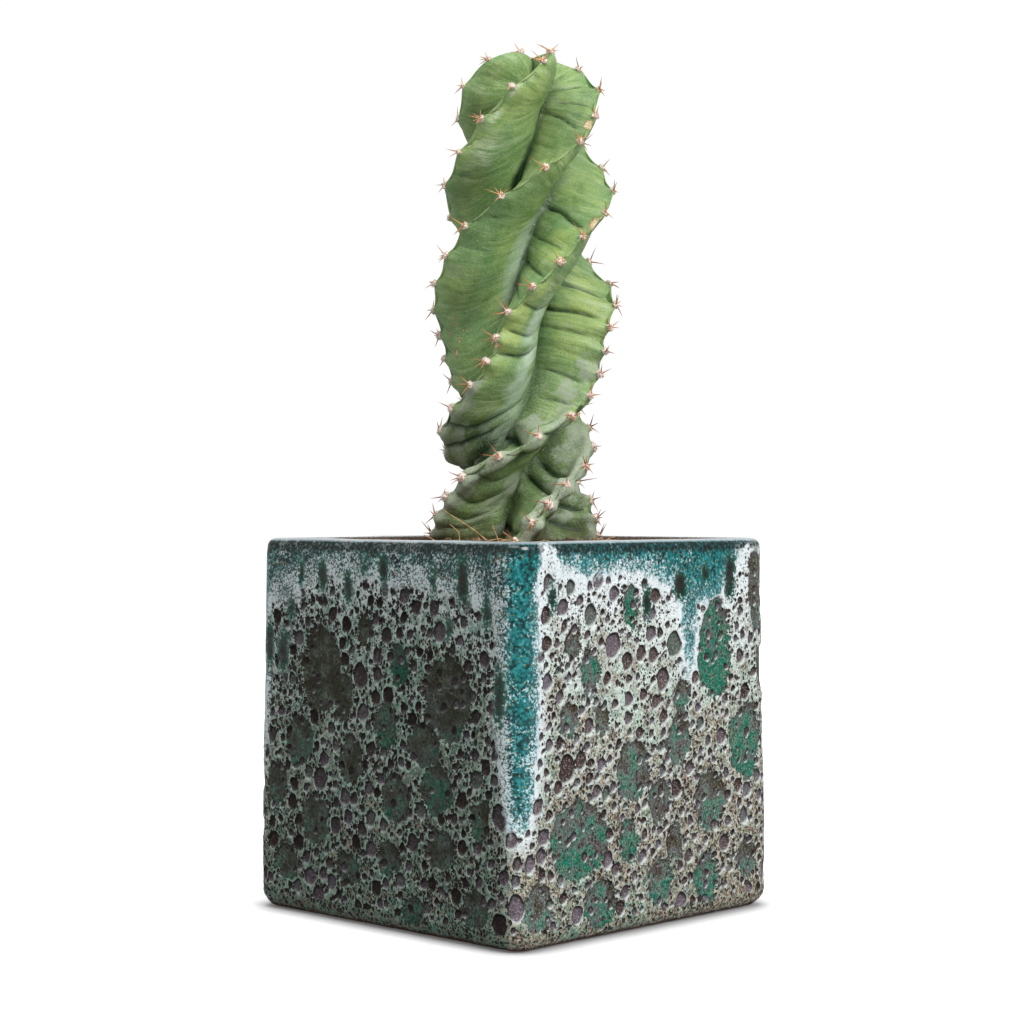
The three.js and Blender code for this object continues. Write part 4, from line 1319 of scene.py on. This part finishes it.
def crumbly_soil(colours):
    """Potting soil: peat with dry crumbs and bits of bark."""
    material, tree, shader = new_material("crumbly_potting_soil")
    place = add(tree, COORDINATES, out="Object")
    lump = add(tree, NOISE, {"Vector": place, "Scale": 1 / (3.5 * MM), "Detail": 4.0})
    speck = add(tree, NOISE, {"Vector": place, "Scale": 1 / (0.6 * MM), "Detail": 2.0})
    colour = paint(tree, colours.dark, [
        ([lump, 0.42, 0.62, 0.0, 0.9], colours.light),
        ([speck, 0.6, 0.7, 0.0, 0.5], "#a98d6f"),
    ])
    bump = add(tree, BUMP, {"Strength": 0.8, "Distance": 0.5 * MM, "Height": speck})
    connect(tree, shader, {"Base Color": colour, "Roughness": 0.95, "Normal": bump})
    return material


def grain_tree(material):
    """A geometry node tree that strews rough grains on the top of the bed."""
    tree, given, result = new_group("soil_grains", [
        ("Grains", "Float", 450000.0), ("Smallest", "Float", 0.4 * MM), ("Largest", "Float", 1.5 * MM),
        ("Seed", "Int", 6)])
    top = add(tree, STORED, {"Name": "top"})
    spread = add(tree, SPREAD, {
        "Mesh": given["Geometry"], "Selection": top, "Density": given["Grains"], "Seed": given["Seed"]},
        out=None)
    luck = add(tree, RANDOM, out=1)
    luck = add(tree, POWER, [luck, 2.5])
    size = add(tree, STEP, [luck, 0.0, 1.0, given["Smallest"], given["Largest"]])
    squash = add(tree, RANDOM, {"Min": (0.6, 0.7, 0.45), "Max": (1.3, 1.2, 1.0)}, data_type="FLOAT_VECTOR")
    scale = add(tree, VECTORS, {0: squash, "Scale": size}, operation="SCALE")
    turn = add(tree, RANDOM, {"Min": (0, 0, 0), "Max": (6.3, 6.3, 6.3)}, data_type="FLOAT_VECTOR")
    ball = add(tree, BALL, {"Radius": 1.0, "Subdivisions": 1})
    grains = add(tree, INSTANCES, {
        "Points": spread.outputs[0], "Instance": ball, "Rotation": turn, "Scale": scale})
    grains = add(tree, REALIZE, [grains])
    return end_group(tree, result, grains, material)


def soil_height(points, heap):
    """Height of the soil's top at points in millimetres: heaped round the stem and uneven."""
    away = np.linalg.norm(points[..., :2] - np.array([0.4, 0.4]), axis=-1)
    uneven = 0.9 * bumps(points, 9, 31) + 0.5 * bumps(points, 4, 32)
    return SOIL_HIGH - 1.2 + heap * smooth(away, 60, 30) + uneven


class CEREUS_OT_soil(bpy.types.Operator):
    """Make the bed of soil and the grains on it"""

    bl_idname = "cereus.soil"
    bl_label = "Soil"

    def execute(self, context):
        settings = context.scene.cereus_soil
        straight, corner, _ = wall_columns()
        straight, corner = straight[::4], corner[::4]
        rings = [(40, SOIL_LOW), (2, SOIL_LOW), (0.3, 10), (0.3, 60), (0.3, 110), (0.3, 132)]
        rings += [(inset, 0) for inset in np.linspace(0.5, 56, 52)]
        grid = []
        for inset, height in rings:
            half = SOIL_HALF - inset
            radius = min(4.0, half)
            flat = straight * (half - radius) + corner * radius
            ring = np.column_stack([flat, np.full(len(flat), float(height))])
            if not height:
                top = soil_height(ring * (1, 1, 0), settings.heap / MM)
                ring[:, 2] = mix(SOIL_EDGE, top, smooth(inset, 0, 2))
            grid.append(ring)
        grid = np.array(grid)
        rows, columns = grid.shape[:2]
        count = rows * columns
        ends = np.array([[0, 0, SOIL_LOW], [0, 0, SOIL_HIGH + 2]])
        top = np.append(np.repeat(np.arange(rows) > SIDE_RINGS, columns), [False, True]).astype(float)
        bed = new_piece("soil_bed", np.concatenate([grid.reshape(-1, 3), ends]),
                        ring_faces(rows, columns, count, count + 1), {"top": top})
        material = crumbly_soil(settings)
        base = bpy.data.objects.new("grain_base", bed.data.copy())
        context.collection.objects.link(base)
        values = {"Grains": settings.grains * 1e4, "Smallest": settings.smallest, "Largest": settings.largest,
                  "Seed": settings.seed}
        seat(grow("soil_grains", base, grain_tree(material), values, material), material, "potting_soil")
        seat(bed, material, "potting_soil", "soil")
        return {"FINISHED"}


# Straws seen in front of the stem: millimetres right of the axis and heights along each
STRAWS = [
    [(-26.0, 151.5), (-20, 147.6), (-14.5, 144), (-9, 139.5)],
    [(-23.4, 146.2), (-20.2, 143.5), (-19.6, 139)],
    [(-8.0, 146.0), (-6.6, 142.5), (-5.2, 139)],
    [(-4.0, 143.4), (-0.5, 140.5), (4, 139)],
    [(-33.0, 142.4), (-30.5, 141.2), (-28, 139.6)],
    [(-13.0, 141.6), (-12.6, 140.0), (-12.4, 138)],
]


class StrawSettings(bpy.types.PropertyGroup):
    """Dry straws and roots on the soil."""

    thickness: length("Thickness", "Half width of a straw", 0.28)
    loose: IntProperty(name="Loose straws", description="Straws strewn round the stem", default=26, min=0)
    seed: IntProperty(name="Seed", description="Places of the loose straws", default=8)
    straw: hue("Straw", "Dry grass", "#c69f6e")


def straw_tree(material):
    """A geometry node tree that gives thin tapered tubes to lines."""
    tree, given, result = new_group("straws", [("Thickness", "Float", 0.28 * MM)])
    line = add(tree, "GeometryNodeMeshToCurve", {"Mesh": given["Geometry"]})
    line = add(tree, "GeometryNodeResampleCurve", {"Curve": line, "Count": 14})
    along = add(tree, "GeometryNodeSplineParameter")
    taper = add(tree, STEP, [along, 0.0, 1.0, 0.45, 1.0])
    ring = add(tree, "GeometryNodeCurvePrimitiveCircle", {"Resolution": 5, "Radius": given["Thickness"]})
    tube = add(tree, "GeometryNodeCurveToMesh", {
        "Curve": line, "Profile Curve": ring, "Scale": taper, "Fill Caps": True})
    tube = add(tree, SHADE_SMOOTH, [tube])
    return end_group(tree, result, tube, material)


def dry_straw(colours):
    """Dry straw: pale tan with darker bands."""
    material, tree, shader = new_material("dry_straw")
    place = add(tree, COORDINATES, out="Object")
    band = add(tree, NOISE, {"Vector": place, "Scale": 1 / (2.5 * MM), "Detail": 2.0})
    colour = paint(tree, colours.straw, [([band, 0.4, 0.65, 0.0, 0.8], "#7a5133")])
    connect(tree, shader, {"Base Color": colour, "Roughness": 0.6})
    return material


class CEREUS_OT_straws(bpy.types.Operator):
    """Make the dry straws on the soil"""

    bl_idname = "cereus.straws"
    bl_label = "Straws"

    def execute(self, context):
        settings = context.scene.cereus_straws
        random = np.random.default_rng(settings.seed)
        view = math.radians(PHOTO_SIDE)
        towards = np.array([math.cos(view), math.sin(view), 0])
        right = np.array([-math.sin(view), math.cos(view), 0])
        lines = []
        for straw in STRAWS:
            ahead = random.uniform(37, 41)
            lines.append([right * across + towards * ahead + (0, 0, height) for across, height in straw])
        heap = context.scene.cereus_soil.heap / MM
        for _ in range(settings.loose):
            way, out = random.uniform(0, 2 * math.pi), random.uniform(36, 54)
            heading, size = random.uniform(0, 2 * math.pi), random.uniform(5, 16)
            start = np.array([out * math.cos(way), out * math.sin(way), 0])
            line = []
            for step in np.linspace(0, 1, 5):
                heading += random.uniform(-0.5, 0.5)
                spot = start + step * size * np.array([math.cos(heading), math.sin(heading), 0])
                spot[:2] = np.clip(spot[:2], -59, 59)
                spot[2] = soil_height(spot, heap) + 0.8 + random.uniform(0, 1.2)
                line.append(spot)
            lines.append(line)
        points, edges = [], []
        for line in lines:
            edges += [(len(points) + i, len(points) + i + 1) for i in range(len(line) - 1)]
            points += line
        mesh = bpy.data.meshes.new("straw_lines")
        mesh.from_pydata((np.array(points) * MM).tolist(), edges, [])
        base = bpy.data.objects.new("straw_lines", mesh)
        context.collection.objects.link(base)
        material = dry_straw(settings)
        piece = grow("straws", base, straw_tree(material), {"Thickness": settings.thickness}, material)
        seat(piece, material, "potting_soil")
        return {"FINISHED"}


# The floor: a disc of this radius with this many sides, just below the pot's foot
FLOOR_RADIUS = 6000.0
FLOOR_SIDES = 96
FLOOR_DROP = 0.05
# Lamps: way from the axis and elevation in degrees, and how wide each is; the rear one's strength
REAR_STRENGTH = 0.5
LAMPS = {"key": (-4, 38, 30), "top": (-66, 58, 40), "fill": (-105, 20, 60), "rear": (130, 35, 60)}


class StageSettings(bpy.types.PropertyGroup):
    """Floor, lights and camera."""

    floor: hue("Floor", "The plain pale floor", "#a6a6a6")
    sky: FloatProperty(name="Sky strength", description="Even light from all round", default=0.32, min=0)
    key: FloatProperty(name="Key strength", description="Soft light from the right", default=2.6, min=0)
    top: FloatProperty(name="Top strength", description="Soft light from above", default=1.35, min=0)
    fill: FloatProperty(name="Fill strength", description="Soft light from the left", default=0.2, min=0)
    distance: length("Camera distance", "From the stem's axis", 852.1)
    height: length("Camera height", "Above the floor", 153.5)


class CEREUS_OT_stage(bpy.types.Operator):
    """Make the floor, the soft studio light and the camera"""

    bl_idname = "cereus.stage"
    bl_label = "Stage"

    def execute(self, context):
        scene, settings = context.scene, context.scene.cereus_stage
        scene.view_settings.view_transform = "Standard"
        camera = bpy.data.objects.new("camera", bpy.data.cameras.new("camera"))
        context.collection.objects.link(camera)
        camera.data.sensor_width = SENSOR_WIDTH
        camera.data.lens = SENSOR_WIDTH * FOCAL_PIXELS / PHOTO_PIXELS
        azimuth = math.radians(PHOTO_SIDE)
        away = settings.distance
        camera.location = (away * math.cos(azimuth), away * math.sin(azimuth), settings.height)
        yaw, pitch = (math.atan2(off, FOCAL_PIXELS) for off in OFF_MIDDLE)
        turn = Matrix.Rotation(azimuth + math.pi / 2 + yaw, 3, "Z")
        turn = turn @ Matrix.Rotation(math.pi / 2 - pitch, 3, "X")
        camera.rotation_euler = turn.to_euler()
        scene.camera = camera
        world = bpy.data.worlds.new("white_room")
        scene.world = world
        world.use_nodes = True
        tree = world.node_tree
        seen = add(tree, LIGHT_PATH, out="Is Camera Ray")
        strength = add(tree, BLEND_VALUES, {0: seen, 2: settings.sky, 3: 1.02})
        connect(tree, tree.nodes["Background"], {"Color": (1, 1, 1), "Strength": strength})
        for name, (way, elevation, spread) in LAMPS.items():
            lamp = bpy.data.lights.new(name, "SUN")
            lamp.energy = getattr(settings, name, REAR_STRENGTH)
            lamp.angle = math.radians(spread)
            sun = bpy.data.objects.new(name, lamp)
            context.collection.objects.link(sun)
            way, elevation = math.radians(way), math.radians(elevation)
            flat = math.cos(elevation)
            towards = Vector((math.cos(way) * flat, math.sin(way) * flat, math.sin(elevation)))
            sun.rotation_euler = towards.to_track_quat("Z", "Y").to_euler()
        floor = self.floor(settings)
        return {"FINISHED"}

    def floor(self, settings):
        """A wide round floor of matt white board."""
        ring = np.linspace(0, 2 * np.pi, FLOOR_SIDES, endpoint=False)
        points = np.stack([np.cos(ring), np.sin(ring), 0 * ring], axis=-1) * FLOOR_RADIUS
        points[:, 2] -= FLOOR_DROP
        floor = new_piece("floor", points, [list(range(FLOOR_SIDES))], smooth_faces=False)
        material, tree, shader = new_material("matt_white_board")
        place = add(tree, COORDINATES, out="Object")
        grain = add(tree, NOISE, {"Vector": place, "Scale": 300.0})
        colour = paint(tree, settings.floor, [([grain, 0.4, 0.6, 0.0, 0.04], "#a0a0a0")])
        # The board glows white for camera rays only, and ambient occlusion dims that glow near the pot's foot
        # into a painted contact shadow
        seen = add(tree, LIGHT_PATH, out="Is Camera Ray")
        open_to_light = add(tree, "ShaderNodeAmbientOcclusion", {"Distance": 12 * MM}, "AO", samples=8,
                            only_local=False)
        glow_with_painted_shadow = add(tree, STEP, [open_to_light, 0.45, 1.0, 0.1, 0.85])
        glow_with_painted_shadow = add(tree, TIMES, [glow_with_painted_shadow, seen])
        connect(tree, shader, {
            "Base Color": colour, "Roughness": 0.9, "Specular IOR Level": 0.1, "Emission Color": (1, 1, 1),
            "Emission Strength": glow_with_painted_shadow})
        floor.data.materials.append(material)
        return floor


class CEREUS_PT_panel(bpy.types.Panel):
    """The pieces of the cereus"""

    bl_idname = "CEREUS_PT_panel"
    bl_label = "Potted spiral cereus"
    bl_space_type = "VIEW_3D"
    bl_region_type = "UI"
    bl_category = "Cereus"

    def draw(self, context):
        for step in STEPS:
            self.layout.operator(f"cereus.{step}")
        for group in SETTINGS:
            box = self.layout.box()
            settings = getattr(context.scene, group)
            for name in settings.__annotations__:
                box.prop(settings, name)


STEPS = ["stage", "stem", "areoles", "spines", "soil", "straws", "pot"]
SETTINGS = {
    "cereus_stage": StageSettings, "cereus_stem": StemSettings, "cereus_areoles": AreoleSettings,
    "cereus_spines": SpineSettings, "cereus_soil": SoilSettings, "cereus_straws": StrawSettings,
    "cereus_pot": PotSettings,
}
CLASSES = [*SETTINGS.values(), CEREUS_OT_stage, CEREUS_OT_stem, CEREUS_OT_areoles, CEREUS_OT_spines,
           CEREUS_OT_soil, CEREUS_OT_straws, CEREUS_OT_pot, CEREUS_PT_panel]


def register():
    for cls in CLASSES:
        bpy.utils.register_class(cls)
    for name, group in SETTINGS.items():
        setattr(bpy.types.Scene, name, PointerProperty(type=group))


def unregister():
    for name in SETTINGS:
        delattr(bpy.types.Scene, name)
    for cls in reversed(CLASSES):
        bpy.utils.unregister_class(cls)


def main():
    """Make every piece in order."""
    register()
    for step in STEPS:
        getattr(bpy.ops.cereus, step)()


if __name__ == "__main__":
    main()
